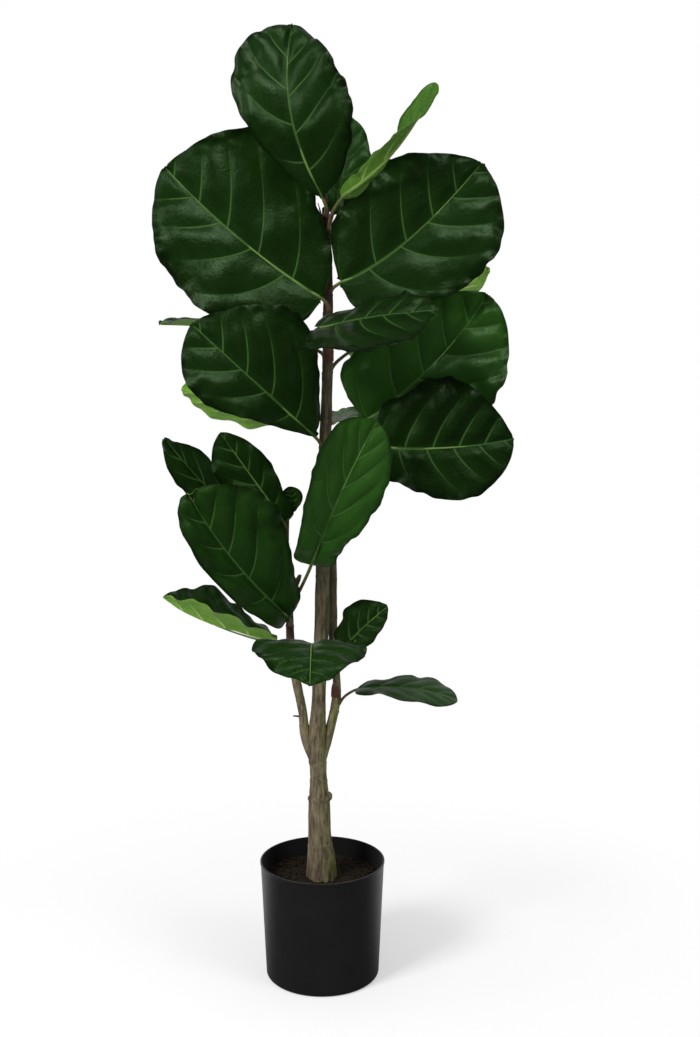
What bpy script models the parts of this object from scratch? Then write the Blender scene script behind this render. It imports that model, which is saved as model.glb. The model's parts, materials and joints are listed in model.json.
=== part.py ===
"""Potted fiddle leaf fig: a plastic pot, a bed of soil, one branched trunk and its leaves.

Metres, +Z up. The origin is the centre of the pot's underside, and -Y is the plant's front.
Every leaf is one closed solid: a thin wavy blade united with the stalk that carries it.
"""
import math

import bmesh
import bpy
import numpy as np
from mathutils import Vector

# Pot: a tapered round shell with a rounded foot and a small lip.
POT_HEIGHT = 0.1545
POT_RIM_RADIUS = 0.0810
POT_FOOT_RADIUS = 0.0738
POT_WALL = 0.0020
POT_FLOOR = 0.0034
POT_FOOT_ROUND = 0.0045
POT_LIP = 0.0030
POT_LIP_STEP = 0.0006     # how far the lip stands out from the wall
POT_LIP_SLOPE = 0.0008    # height of the slope beneath the lip
POT_EDGE = 0.0005         # bevel along the rim
POT_INNER_CORNER = 0.0032
POT_SIDES = 56

# Soil: fills the pot up to just below the lip.
SOIL_TOP = 0.1325
SOIL_EDGE_DROP = 0.0022
SOIL_FALL = [(0.035, 0.1), (0.062, 0.4)]    # radius, and how much of the edge drop is reached there
SOIL_CLEARANCE = 0.0005
SOIL_SIDES = 40

# Gap that is left where one piece touches another.
GAP = 0.0003

# Stems as (x, y, z, radius) along the centre line, from the lowest point up.
CENTRE_STEM = [
    (-0.002, 0.0, 0.080, 0.0150),
    (-0.001, 0.0, 0.128, 0.0190),
    (-0.001, 0.0, 0.154, 0.0185),
    (-0.003, 0.0, 0.181, 0.0152),
    (-0.004, 0.0, 0.235, 0.0137),
    (-0.005, 0.0, 0.275, 0.0106),
    (-0.006, 0.0, 0.300, 0.0118),
    (-0.004, 0.0, 0.368, 0.0090),
    (0.001, 0.0, 0.499, 0.0095),
    (0.002, 0.0, 0.560, 0.0086),
    (0.005, 0.0, 0.702, 0.0075),
    (0.008, 0.0, 0.789, 0.0068),
    (0.009, 0.0, 0.875, 0.0060),
    (0.008, 0.0, 0.947, 0.0052),
    (0.006, 0.0, 0.988, 0.0044),
]
LEFT_STEM = [
    (-0.009, 0.0, 0.290, 0.0080),
    (-0.021, 0.0, 0.320, 0.0066),
    (-0.025, 0.0, 0.355, 0.0058),
    (-0.032, 0.0, 0.390, 0.0056),
    (-0.039, 0.0, 0.434, 0.0054),
    (-0.041, 0.0, 0.480, 0.0050),
    (-0.045, 0.0, 0.550, 0.0045),
    (-0.044, 0.0, 0.606, 0.0036),
]
RIGHT_STEM = [
    (-0.001, 0.0, 0.290, 0.0070),
    (0.011, 0.002, 0.333, 0.0060),
    (0.018, 0.004, 0.367, 0.0055),
    (0.0145, 0.010, 0.445, 0.0056),
    (0.0140, 0.011, 0.510, 0.0054),
    (0.0140, 0.011, 0.570, 0.0050),
    (0.0165, 0.008, 0.650, 0.0046),
    (0.020, 0.004, 0.712, 0.0038),
]
KNOT = dict(centre=(0.0040, -0.001, 0.240), radius=0.0095)
TWIG = dict(start=(-0.024, 0.0, 0.345), end=(-0.0375, -0.002, 0.348), foot_radius=0.0017,
            end_radius=0.0012)

# Leaf blades.
BLADE_THICKNESS = 0.0012
BLADE_ROWS = 11
BLADE_COLUMNS = 7
LOBE_PLACE = 0.06     # of the blade's length
LOBE_SPREAD = 0.07
LOBE_BACK = 0.5       # how far the lobes run back past the neck, of their own size
BASE_LENGTH = 0.02    # of the blade's length, over which the blade opens from the stalk
NARROWEST = 0.05      # half width at the neck and the tip, of the greatest half width
REACH_GROWTH = 1.5    # powers by which the reach and the waves grow from the midrib to the margin
WAVE_GROWTH = 2.2
SIDE_PHASE = 1.9      # radians between the waves of the left and the right margin
RIB_STEPS = 201

# Leaf stalks.
STALK_INTO_BLADE = 0.012
STALK_BOW = 0.45                       # how far a stalk runs on in line with its blade, of its span
STALK_TAPER = (1.5, 1.0, 0.95, 0.6)    # radius at its foot, halfway, at the neck and in the blade

# What a leaf has unless its own entry says otherwise. Angles are in degrees.
#   fold: how far each half rises from the midrib    cup: further turn of the left and right margins
#   wave, waves: height and number of margin waves    broad: widest place along the blade
#   full: 0.5 gives a full oval, 0.8 a slender one    lobe: size of the two lobes beside the stalk
#   reach: how far the left and right margins run ahead of the rib    twist: turn over its length
#   sweep: above 1 puts most of that reach near the tip
#   left, right: how wide that half is near its base, in the middle and near its tip
LEAF_DEFAULTS = dict(
    fold=8, cup=(0, 0), wave=0.004, waves=3.0, phase=0.0,
    broad=0.50, full=0.62, lobe=0.14, reach=(0.10, 0.10), sweep=0.8, twist=0,
    left=(1, 1, 1), right=(1, 1, 1), stalk=0.0022,
)

# Each leaf: foot on its stem, neck where stalk meets blade, a point halfway along the midrib, the
# tip, the direction its upper side looks, and its width.
LEAVES = {
    "leaf_01": dict(foot=(0.015, 0.003, 0.352), neck=(0.049, -0.010, 0.386),
                    middle=(0.109, -0.030, 0.392), tip=(0.171, -0.030, 0.378), face=(0.0, -0.25, 1.0),
                    width=0.068, fold=5, cup=(-10, -10), wave=0.002, broad=0.55, full=0.45,
                    left=(0.9, 0.95, 1.15), stalk=0.0017),
    "leaf_02": dict(foot=(0.018, 0.005, 0.380), neck=(0.028, -0.008, 0.437),
                    middle=(0.055, -0.030, 0.472), tip=(0.083, -0.045, 0.501), face=(0.0, -0.8, 0.6),
                    width=0.060, fold=5, wave=0.002, left=(1.5, 1.1, 0.7), right=(1.2, 0.6, 0.7),
                    stalk=0.0017),
    "leaf_03": dict(foot=(-0.039, 0.0, 0.432), neck=(-0.062, -0.020, 0.449),
                    middle=(-0.132, -0.035, 0.475), tip=(-0.196, -0.040, 0.511), face=(0.0, 0.0, 1.0),
                    width=0.100, fold=30, cup=(0, 22), wave=0.003, stalk=0.0018),
    "leaf_04": dict(foot=(-0.002, 0.0, 0.416), neck=(-0.011, -0.040, 0.449),
                    middle=(-0.011, -0.090, 0.456), tip=(-0.011, -0.145, 0.425), face=(0.0, -0.5, 0.85),
                    width=0.145, fold=5, cup=(-10, 0), broad=0.42, full=0.8, lobe=0.20,
                    left=(1.1, 0.8, 0.8), right=(1.1, 0.95, 0.7)),
    "leaf_05": dict(foot=(-0.040, 0.0, 0.466), neck=(-0.042, -0.022, 0.482),
                    middle=(-0.105, -0.060, 0.559), tip=(-0.159, -0.075, 0.646), face=(0.05, -0.9, 0.4),
                    width=0.135, fold=14, cup=(65, 5), full=0.55, lobe=0.08, left=(0.8, 0.78, 0.8),
                    right=(0.95, 1.2, 1.4)),
    "leaf_06": dict(foot=(-0.045, 0.0, 0.546), neck=(-0.076, 0.010, 0.568),
                    middle=(-0.143, 0.010, 0.641), tip=(-0.195, -0.010, 0.705), face=(-0.5, -0.6, 0.5),
                    width=0.060, fold=20, left=(1.0, 0.85, 0.9), right=(1.0, 1.0, 1.4), stalk=0.0016),
    "leaf_07": dict(foot=(-0.041, 0.0, 0.488), neck=(-0.010, -0.042, 0.556),
                    middle=(0.027, -0.095, 0.652), tip=(0.067, -0.105, 0.733), face=(0.15, -0.9, 0.25),
                    width=0.078, fold=10, cup=(25, 0), broad=0.54, left=(1.7, 0.4, 2.3),
                    right=(1.5, 1.0, 1.4)),
    "leaf_08": dict(foot=(-0.045, 0.0, 0.572), neck=(-0.047, -0.012, 0.602),
                    middle=(-0.088, -0.020, 0.662), tip=(-0.124, -0.020, 0.713), face=(-0.2, -0.9, 0.3),
                    width=0.072, fold=10, left=(1.0, 1.05, 1.1), right=(1.0, 0.8, 0.65), stalk=0.0016),
    "leaf_09": dict(foot=(-0.044, 0.0, 0.600), neck=(-0.040, -0.004, 0.616),
                    middle=(-0.038, -0.008, 0.630), tip=(-0.041, -0.010, 0.645), face=(0.0, -1.0, 0.2),
                    width=0.034, fold=25, wave=0.001, stalk=0.0012),
    "leaf_10": dict(foot=(0.005, 0.0, 0.689), neck=(-0.008, -0.013, 0.708),
                    middle=(-0.082, -0.045, 0.779), tip=(-0.154, -0.045, 0.846), face=(-0.15, -0.9, 0.4),
                    width=0.138, broad=0.56, full=0.72, lobe=0.02, left=(0.6, 0.9, 1.05),
                    right=(1.9, 1.35, 0.95)),
    "leaf_11": dict(foot=(0.005, 0.0, 0.696), neck=(0.013, 0.020, 0.722),
                    middle=(0.022, 0.070, 0.724), tip=(0.030, 0.120, 0.734), face=(0.0, -0.1, 1.0),
                    width=0.050, fold=8, left=(0.7, 0.7, 0.7), right=(1.3, 1.3, 1.3)),
    "leaf_12": dict(foot=(0.0195, 0.0045, 0.698), neck=(0.070, -0.040, 0.698),
                    middle=(0.150, -0.070, 0.699), tip=(0.230, -0.080, 0.711), face=(0.05, -0.99, 0.05),
                    width=0.150, fold=6, broad=0.46, left=(1.2, 1.2, 1.0), right=(0.8, 0.85, 0.9)),
    "leaf_13": dict(foot=(0.006, 0.0, 0.727), neck=(-0.021, 0.030, 0.732),
                    middle=(-0.100, 0.050, 0.737), tip=(-0.182, 0.070, 0.762), face=(-0.1, 0.75, 0.7),
                    width=0.102, fold=10, cup=(10, 10)),
    "leaf_14": dict(foot=(0.020, 0.004, 0.709), neck=(0.058, -0.008, 0.729),
                    middle=(0.141, -0.015, 0.800), tip=(0.205, 0.0, 0.882), face=(0.0, -0.98, 0.15),
                    width=0.160, broad=0.44, left=(1.4, 0.9, 0.85), right=(1.3, 0.98, 1.0)),
    "leaf_15": dict(foot=(0.008, 0.0, 0.786), neck=(0.039, 0.030, 0.813),
                    middle=(0.125, 0.050, 0.863), tip=(0.214, 0.060, 0.913), face=(0.0, 0.5, 0.85),
                    width=0.120, fold=5),
    "leaf_16": dict(foot=(0.008, 0.0, 0.804), neck=(-0.017, 0.030, 0.818),
                    middle=(-0.104, 0.060, 0.838), tip=(-0.209, 0.080, 0.845), face=(0.0, -0.12, 1.0),
                    width=0.110, fold=10),
    "leaf_17": dict(foot=(0.0085, 0.0, 0.830), neck=(0.000, -0.045, 0.841),
                    middle=(0.069, -0.080, 0.854), tip=(0.138, -0.095, 0.862), face=(-0.05, -0.55, 0.83),
                    width=0.140, fold=6, cup=(-5, 5), wave=0.002, lobe=0.24, left=(0.6, 0.6, 0.6),
                    right=(1.6, 1.3, 1.2)),
    "leaf_18": dict(foot=(0.009, 0.0, 0.858), neck=(0.001, -0.016, 0.877),
                    middle=(-0.093, -0.016, 0.944), tip=(-0.189, 0.000, 1.034), face=(-0.1, -0.97, 0.2),
                    width=0.196, fold=6, cup=(5, -10), wave=0.006, broad=0.50, lobe=0.05,
                    reach=(0.06, 0.20), sweep=1.0, left=(1.3, 0.88, 0.8), right=(1.38, 1.25, 1.15)),
    "leaf_19": dict(foot=(0.009, 0.0, 0.880), neck=(0.026, -0.016, 0.896),
                    middle=(0.106, -0.024, 0.946), tip=(0.194, -0.015, 1.037), face=(0.05, -0.98, 0.15),
                    width=0.175, fold=6, cup=(0, 5), lobe=0.08, left=(1.6, 0.88, 0.85),
                    right=(1.25, 0.92, 1.05)),
    "leaf_20": dict(foot=(0.008, 0.0, 0.946), neck=(0.030, -0.030, 0.998),
                    middle=(0.092, -0.068, 1.050), tip=(0.135, -0.060, 1.123), face=(-0.75, 0.1, 0.6),
                    width=0.040, fold=20, cup=(15, 15), wave=0.002, waves=2.0, full=0.5, twist=160,
                    stalk=0.0018),
    "leaf_21": dict(foot=(0.0075, 0.0, 0.957), neck=(0.016, 0.020, 0.982),
                    middle=(0.029, 0.045, 1.041), tip=(0.038, 0.060, 1.100), face=(0.2, -0.95, 0.2),
                    width=0.068, fold=10, cup=(5, 5), left=(1.0, 1.0, 1.0), right=(1.0, 0.85, 0.9),
                    stalk=0.0016),
    "leaf_22": dict(foot=(0.006, 0.0, 0.974), neck=(0.003, -0.024, 0.996),
                    middle=(-0.034, -0.045, 1.094), tip=(-0.032, -0.010, 1.196),
                    face=(-0.12, -0.95, 0.12), width=0.150, fold=14, cup=(-8, 2), wave=0.005, waves=2.5,
                    broad=0.58, lobe=0.02, reach=(0.12, 0.06), left=(0.75, 1.0, 0.75),
                    right=(1.9, 0.72, 0.68)),
}

# Papery bracts that wrap a stem: foot on the stem's centre line, how far round they turn (degrees,
# 0 faces the front), the stem's radius there, height, and how far the pointed tip leans away.
BRACTS = {
    "bract_left": dict(foot=(-0.0412, 0.0, 0.488), turn=132, radius=0.0050, height=0.042, lean=0.013),
    "bract_right": dict(foot=(0.0180, 0.005, 0.372), turn=-10, radius=0.0060, height=0.022, lean=0.003),
    "bract_middle": dict(foot=(0.0084, 0.0, 0.800), turn=20, radius=0.0067, height=0.022, lean=0.004),
    "bract_upper": dict(foot=(0.0072, 0.0, 0.962), turn=-80, radius=0.0053, height=0.030, lean=0.004),
}
BRACT_THICKNESS = 0.0008
BRACT_SWEEP = 110
BRACT_NARROWING = 0.85
BRACT_GRID = 7

# The closed bud that ends the centre stem.
BUD = dict(foot=(0.0065, 0.0035, 0.9886), height=0.030, radius=0.0040, fullness=0.6, lean=8)
BUD_RINGS = 7
BUD_SIDES = 12


def clear_scene():
    for item in list(bpy.data.objects):
        bpy.data.objects.remove(item, do_unlink=True)


def make_collection(name):
    collection = bpy.data.collections.new(name)
    bpy.context.scene.collection.children.link(collection)
    return collection


def make_material(name, colour, roughness):
    material = bpy.data.materials.new(name)
    material.use_nodes = True
    shader = material.node_tree.nodes["Principled BSDF"]
    shader.inputs["Base Color"].default_value = (*colour, 1.0)
    shader.inputs["Roughness"].default_value = roughness
    shader.inputs["Metallic"].default_value = 0.0
    return material


def unit(vectors):
    """Vectors scaled to length one along their last axis."""
    vectors = np.asarray(vectors, float)
    return vectors / np.linalg.norm(vectors, axis=-1, keepdims=True)


def mesh_object(name, vertices, faces, collection):
    mesh = bpy.data.meshes.new(name)
    mesh.from_pydata([tuple(map(float, vertex)) for vertex in vertices], [], faces)
    item = bpy.data.objects.new(name, mesh)
    collection.objects.link(item)
    return item


def grid_faces(rows, columns):
    """Quads of a grid whose vertices run column by column within each row."""
    return [(row * columns + column, (row + 1) * columns + column,
             (row + 1) * columns + column + 1, row * columns + column + 1)
            for row in range(rows - 1) for column in range(columns - 1)]


def smooth(item):
    """Shade round and leave only real corners sharp."""
    item.data.shade_smooth()
    item.data.set_sharp_from_angle(angle=math.radians(40))


def mesh_from_curve(curve_object, collection):
    """Replace a curve object with a closed mesh object of the same name and place."""
    depsgraph = bpy.context.evaluated_depsgraph_get()
    mesh = bpy.data.meshes.new_from_object(curve_object.evaluated_get(depsgraph))
    cage = bmesh.new()
    cage.from_mesh(mesh)
    bmesh.ops.remove_doubles(cage, verts=cage.verts, dist=0.00001)
    bmesh.ops.recalc_face_normals(cage, faces=cage.faces)
    cage.to_mesh(mesh)
    cage.free()
    name = curve_object.name
    place = curve_object.matrix_world.copy()
    bpy.data.objects.remove(curve_object, do_unlink=True)
    item = bpy.data.objects.new(name, mesh)
    item.matrix_world = place
    collection.objects.link(item)
    return item


def tube(name, points, collection, sides_level, steps):
    """Closed round tube through (position, radius) points, with smooth handles."""
    curve = bpy.data.curves.new(name, "CURVE")
    curve.dimensions = "3D"
    curve.bevel_depth = 1.0
    curve.bevel_resolution = sides_level
    curve.resolution_u = steps
    curve.use_fill_caps = True
    spline = curve.splines.new("BEZIER")
    spline.bezier_points.add(len(points) - 1)
    for knot, (position, radius) in zip(spline.bezier_points, points):
        knot.co = position
        knot.radius = radius
        knot.handle_left_type = "AUTO"
        knot.handle_right_type = "AUTO"
    item = bpy.data.objects.new(name, curve)
    collection.objects.link(item)
    bpy.context.view_layer.update()
    return mesh_from_curve(item, collection)


def boolean(item, other, operation):
    modifier = item.modifiers.new(other.name, "BOOLEAN")
    modifier.operation = operation
    modifier.solver = "EXACT"
    modifier.object = other


def hide_cutter(item):
    item.hide_render = True
    item.display_type = "WIRE"


def turned(name, profile, sides, collection):
    """Solid turned about Z from (radius, height) points that start and end on the axis."""
    mesh = bpy.data.meshes.new(name)
    edges = [(index, index + 1) for index in range(len(profile) - 1)]
    mesh.from_pydata([(radius, 0.0, height) for radius, height in profile], edges, [])
    item = bpy.data.objects.new(name, mesh)
    collection.objects.link(item)
    screw = item.modifiers.new("turn", "SCREW")
    screw.steps = sides
    screw.render_steps = sides
    screw.use_merge_vertices = True
    screw.merge_threshold = 0.00001
    screw.use_smooth_shade = True
    return item


def round_corner(centre, radius, start, end, steps):
    """Points of an arc in the profile plane; angles in degrees."""
    angles = np.radians(np.linspace(start, end, steps + 1))
    return [(centre[0] + radius * math.cos(angle), centre[1] + radius * math.sin(angle))
            for angle in angles]


def pot_inner_radius(height):
    """Radius of the pot's inside wall at a height."""
    share = (height - POT_FOOT_ROUND) / (POT_HEIGHT - POT_FOOT_ROUND)
    return POT_FOOT_RADIUS + share * (POT_RIM_RADIUS - POT_FOOT_RADIUS) - POT_WALL


def make_pot(collection, material):
    """From the middle of the floor up the inside, over the lip and down the wall to the round foot."""
    lip_base = POT_HEIGHT - POT_LIP
    wall_under_lip = pot_inner_radius(lip_base) + POT_WALL - POT_LIP_STEP
    foot_centre = (POT_FOOT_RADIUS - POT_FOOT_ROUND, POT_FOOT_ROUND)
    inner_foot = pot_inner_radius(POT_FLOOR + POT_FOOT_ROUND)
    inner_top = pot_inner_radius(POT_HEIGHT)
    profile = [(0.0, POT_FLOOR), (inner_foot - POT_INNER_CORNER, POT_FLOOR),
               (inner_foot, POT_FLOOR + POT_FOOT_ROUND), (inner_top, POT_HEIGHT - POT_EDGE),
               (inner_top + POT_EDGE, POT_HEIGHT), (POT_RIM_RADIUS - POT_EDGE, POT_HEIGHT),
               (POT_RIM_RADIUS, POT_HEIGHT - POT_EDGE), (POT_RIM_RADIUS, lip_base),
               (wall_under_lip, lip_base - POT_LIP_SLOPE)]
    profile += round_corner(foot_centre, POT_FOOT_ROUND, 0, -90, 4)
    profile.append((0.0, 0.0))
    pot = turned("pot", profile, POT_SIDES, collection)
    pot.data.materials.append(material)
    return pot


def make_soil(collection, material, trunk_hole):
    """Plug of soil that follows the pot's inside, a little lower at its edge than in the middle."""
    bottom = POT_FLOOR + GAP
    low = POT_FLOOR + POT_FOOT_ROUND + SOIL_CLEARANCE
    low_radius = pot_inner_radius(low) - SOIL_CLEARANCE
    edge_height = SOIL_TOP - SOIL_EDGE_DROP
    profile = [(0.0, SOIL_TOP)]
    profile += [(radius, SOIL_TOP - share * SOIL_EDGE_DROP) for radius, share in SOIL_FALL]
    profile += [(pot_inner_radius(edge_height) - SOIL_CLEARANCE, edge_height), (low_radius, low),
                (low_radius - POT_INNER_CORNER, bottom), (0.0, bottom)]
    soil = turned("soil", profile, SOIL_SIDES, collection)
    boolean(soil, trunk_hole, "DIFFERENCE")
    soil.data.materials.append(material)
    return soil


def stem_solid(name, points, collection, grow):
    """One stem as a closed tube, thickened by grow and run on at both ends by the same amount."""
    grown = [((x, y, z), radius + grow) for x, y, z, radius in points]
    for end, away in ((0, -grow), (-1, grow)):
        (x, y, z), radius = grown[end]
        grown[end] = ((x, y, z + away), radius)
    return tube(name, grown, collection, sides_level=4, steps=3)


def make_trunk(collection, cutters, material):
    """The three stems, a knot and a dead twig, united into one trunk."""
    trunk = stem_solid("trunk", CENTRE_STEM, collection, 0.0)
    for name, points in (("left_stem", LEFT_STEM), ("right_stem", RIGHT_STEM)):
        stem = stem_solid(name, points, cutters, 0.0)
        hide_cutter(stem)
        boolean(trunk, stem, "UNION")
    bpy.ops.mesh.primitive_ico_sphere_add(subdivisions=2, radius=KNOT["radius"], location=KNOT["centre"])
    knot = bpy.context.active_object
    knot.name = "knot"
    twig_points = [(TWIG["start"], TWIG["foot_radius"]), (TWIG["end"], TWIG["end_radius"])]
    twig = tube("twig", twig_points, cutters, sides_level=2, steps=3)
    for item in (knot, twig):
        hide_cutter(item)
        boolean(trunk, item, "UNION")
    for holder in list(knot.users_collection):
        holder.objects.unlink(knot)
    cutters.objects.link(knot)
    trunk.data.materials.append(material)
    return trunk


def make_clearance(cutters):
    """Cutters a little larger than each stem, for what seats against the trunk."""
    pieces = []
    stems = (("centre_room", CENTRE_STEM), ("left_room", LEFT_STEM), ("right_room", RIGHT_STEM))
    for name, points in stems:
        room = stem_solid(name, points, cutters, GAP)
        hide_cutter(room)
        pieces.append(room)
    return pieces


def rib_curve(leaf, share):
    """Points and directions on the midrib, a quadratic curve through neck, middle and tip."""
    neck, middle, tip = (np.array(leaf[key]) for key in ("neck", "middle", "tip"))
    bend = 2 * middle - (neck + tip) / 2
    share = share[..., None]
    points = (1 - share) ** 2 * neck + 2 * share * (1 - share) * bend + share ** 2 * tip
    directions = unit((1 - share) * (bend - neck) + share * (tip - bend))
    return points, directions


def blade_frame(leaf, share):
    """Points on the midrib, the way ahead, the way the upper side looks and the way to the right.

    The blade looks towards `face` halfway along, and turns about the midrib by `twist` over its length.
    """
    points, ahead = rib_curve(leaf, share)
    face = np.array(leaf["face"])
    upward = unit(face - ahead * (ahead @ face)[..., None])
    right = np.cross(ahead, upward)
    turn = (math.radians(leaf["twist"]) * (share - 0.5))[..., None]
    return (points, ahead, upward * np.cos(turn) + right * np.sin(turn),
            right * np.cos(turn) - upward * np.sin(turn))


def flat_blade(leaf, length, along, across):
    """The blade laid flat: sideways and lengthways place of each grid point, in metres.

    The half width is a raised sine with its peak at `broad`, plus two lobes beside the stalk. Each
    row of points sweeps forward from the midrib, as the side veins do, and back at the lobes.
    """
    peak = math.log(0.5) / math.log(leaf["broad"])
    lobes = leaf["lobe"] * np.exp(-((along - LOBE_PLACE) / LOBE_SPREAD) ** 2)
    half_width = np.sin(np.pi * along ** peak).clip(0) ** leaf["full"] + lobes
    half_width = np.maximum(half_width * np.clip(along / BASE_LENGTH, 0, 1), NARROWEST)
    reach = np.where(across < 0, *leaf["reach"])
    forward = reach * np.sin(np.pi * along ** leaf["sweep"]) - LOBE_BACK * lobes
    weights = np.stack([(1 - along) ** 2, 2 * along * (1 - along), along ** 2], axis=-1)
    side = np.where(across < 0, weights @ leaf["left"], weights @ leaf["right"])
    sideways = across * half_width * side * leaf["width"] / 2
    lengthways = length * (along + forward * np.abs(across) ** REACH_GROWTH)
    return sideways, lengthways


def blade_surface(leaf, rows, columns):
    """The blade bent into place, as an array of points with one row for each step along the midrib.

    Each half leaves the midrib at the fold angle and turns further by the cup angle up to its
    margin. Waves that grow toward the margin lift and drop it along the length.
    """
    steps = np.linspace(0, 1, RIB_STEPS)
    rib, _ = rib_curve(leaf, steps)
    travel = np.concatenate(([0], np.cumsum(np.linalg.norm(np.diff(rib, axis=0), axis=1))))
    length = travel[-1]
    along = 0.5 - 0.5 * np.cos(np.linspace(0, np.pi, rows))
    along, across = np.meshgrid(along, np.linspace(-1, 1, columns), indexing="ij")
    sideways, lengthways = flat_blade(leaf, length, along, across)

    share = np.interp(lengthways, travel, steps)
    points, ahead, upward, right = blade_frame(leaf, share)
    overrun = lengthways - np.clip(lengthways, 0, length)
    points = points + ahead * overrun[..., None]

    left_cup, right_cup = (math.radians(angle) + 1e-6 for angle in leaf["cup"])
    bend = np.where(sideways < 0, left_cup, right_cup) / (leaf["width"] / 2)
    fold = math.radians(leaf["fold"])
    out = np.abs(sideways)
    spread = (np.sin(fold + bend * out) - math.sin(fold)) / bend
    rise = (math.cos(fold) - np.cos(fold + bend * out)) / bend
    place = np.clip(lengthways / length, 0, 1)
    side_phase = np.where(sideways < 0, 0.0, SIDE_PHASE)
    wave = np.sin(2 * np.pi * leaf["waves"] * lengthways / length + leaf["phase"] + side_phase)
    swell = np.abs(across) ** WAVE_GROWTH * np.sqrt(np.sin(np.pi * place).clip(0))
    rise = rise + leaf["wave"] * swell * wave
    return points + right * (np.sign(sideways) * spread)[..., None] + upward * rise[..., None]


def stalk_tube(name, leaf, cutters):
    """The leaf's stalk, from its foot on the stem to just inside the blade."""
    neck, directions = rib_curve(leaf, np.zeros(1))
    ahead = Vector(directions[0])
    foot = Vector(leaf["foot"])
    neck = Vector(neck[0])
    inside = neck + ahead * min(STALK_INTO_BLADE, 0.2 * (Vector(leaf["tip"]) - neck).length)
    bow = neck - ahead * STALK_BOW * (neck - foot).length
    halfway = (foot + bow * 2 + neck) / 4
    radii = [leaf["stalk"] * taper for taper in STALK_TAPER]
    points = list(zip((foot, halfway, neck, inside), radii))
    item = tube(name + "_stalk", points, cutters, sides_level=2, steps=2)
    hide_cutter(item)
    return item


def make_leaf(name, entry, collection, cutters, rooms, material):
    """One leaf: a blade with thickness, united with its stalk and cut clear of the stems."""
    leaf = {**LEAF_DEFAULTS, **entry}
    surface = blade_surface(leaf, BLADE_ROWS, BLADE_COLUMNS)
    blade = mesh_object(name, surface.reshape(-1, 3), grid_faces(BLADE_ROWS, BLADE_COLUMNS), collection)
    skin = blade.modifiers.new("thickness", "SOLIDIFY")
    skin.thickness = BLADE_THICKNESS
    skin.offset = 0.0
    boolean(blade, stalk_tube(name, leaf, cutters), "UNION")
    for room in rooms:
        boolean(blade, room, "DIFFERENCE")
    blade.data.materials.append(material)
    return blade


def make_bract(name, bract, collection, material):
    """A curved papery flake that hugs a stem at its foot and narrows to a leaning point."""
    steps = np.linspace(0, 1, BRACT_GRID)
    up, around = np.meshgrid(steps, 2 * steps - 1, indexing="ij")
    half_sweep = math.radians(BRACT_SWEEP / 2) * (1 - BRACT_NARROWING * up ** 1.6)
    angle = math.radians(bract["turn"] - 90) + around * half_sweep
    radius = bract["radius"] + 2 * GAP + BRACT_THICKNESS / 2 + bract["lean"] * up ** 2
    x, y, z = bract["foot"]
    points = np.stack([x + radius * np.cos(angle), y + radius * np.sin(angle),
                       z + bract["height"] * up], axis=-1)
    item = mesh_object(name, points.reshape(-1, 3), grid_faces(BRACT_GRID, BRACT_GRID), collection)
    skin = item.modifiers.new("thickness", "SOLIDIFY")
    skin.thickness = BRACT_THICKNESS
    skin.offset = 0.0
    item.data.materials.append(material)
    return item


def make_bud(collection, material):
    """Slender pointed bud, turned about its own axis and leaning a little."""
    inner_points = [(BUD["radius"] * math.sin(math.pi * share ** BUD["fullness"]), BUD["height"] * share)
                    for share in np.linspace(1, 0, BUD_RINGS)[1:-1]]
    profile = [(0.0, BUD["height"]), *inner_points, (0.0, 0.0)]
    bud = turned("bud", profile, BUD_SIDES, collection)
    bud.location = BUD["foot"]
    bud.rotation_euler = (0.0, math.radians(-BUD["lean"]), 0.0)
    bud.data.materials.append(material)
    return bud


def main():
    clear_scene()
    parts = make_collection("potted_fiddle_leaf_fig")
    cutters = make_collection("cutters")
    pot_black = make_material("pot_black", (0.012, 0.012, 0.013), 0.42)
    soil_brown = make_material("soil_brown", (0.020, 0.014, 0.009), 0.95)
    bark_grey = make_material("bark_grey", (0.160, 0.130, 0.080), 0.85)
    leaf_green = make_material("leaf_green", (0.012, 0.055, 0.018), 0.35)
    bract_brown = make_material("bract_brown", (0.090, 0.028, 0.016), 0.70)

    rooms = make_clearance(cutters)
    make_pot(parts, pot_black)
    make_soil(parts, soil_brown, rooms[0])
    smooth(make_trunk(parts, cutters, bark_grey))
    for name, entry in LEAVES.items():
        smooth(make_leaf(name, entry, parts, cutters, rooms, leaf_green))
    for name, bract in BRACTS.items():
        smooth(make_bract(name, bract, parts, bract_brown))
    smooth(make_bud(parts, bract_brown))


main()
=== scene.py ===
"""Potted fiddle leaf fig: the fine surfaces and finishes that stand for the plain solids of the frame.

Metres, +Z up, -Y towards the viewer. Leaves are sheets worked out from a midrib curve and a flat
blade; stems, stalks and the bud are rings carried along a path; the pot and the soil are turned
profiles.
"""
import json
import math

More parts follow.
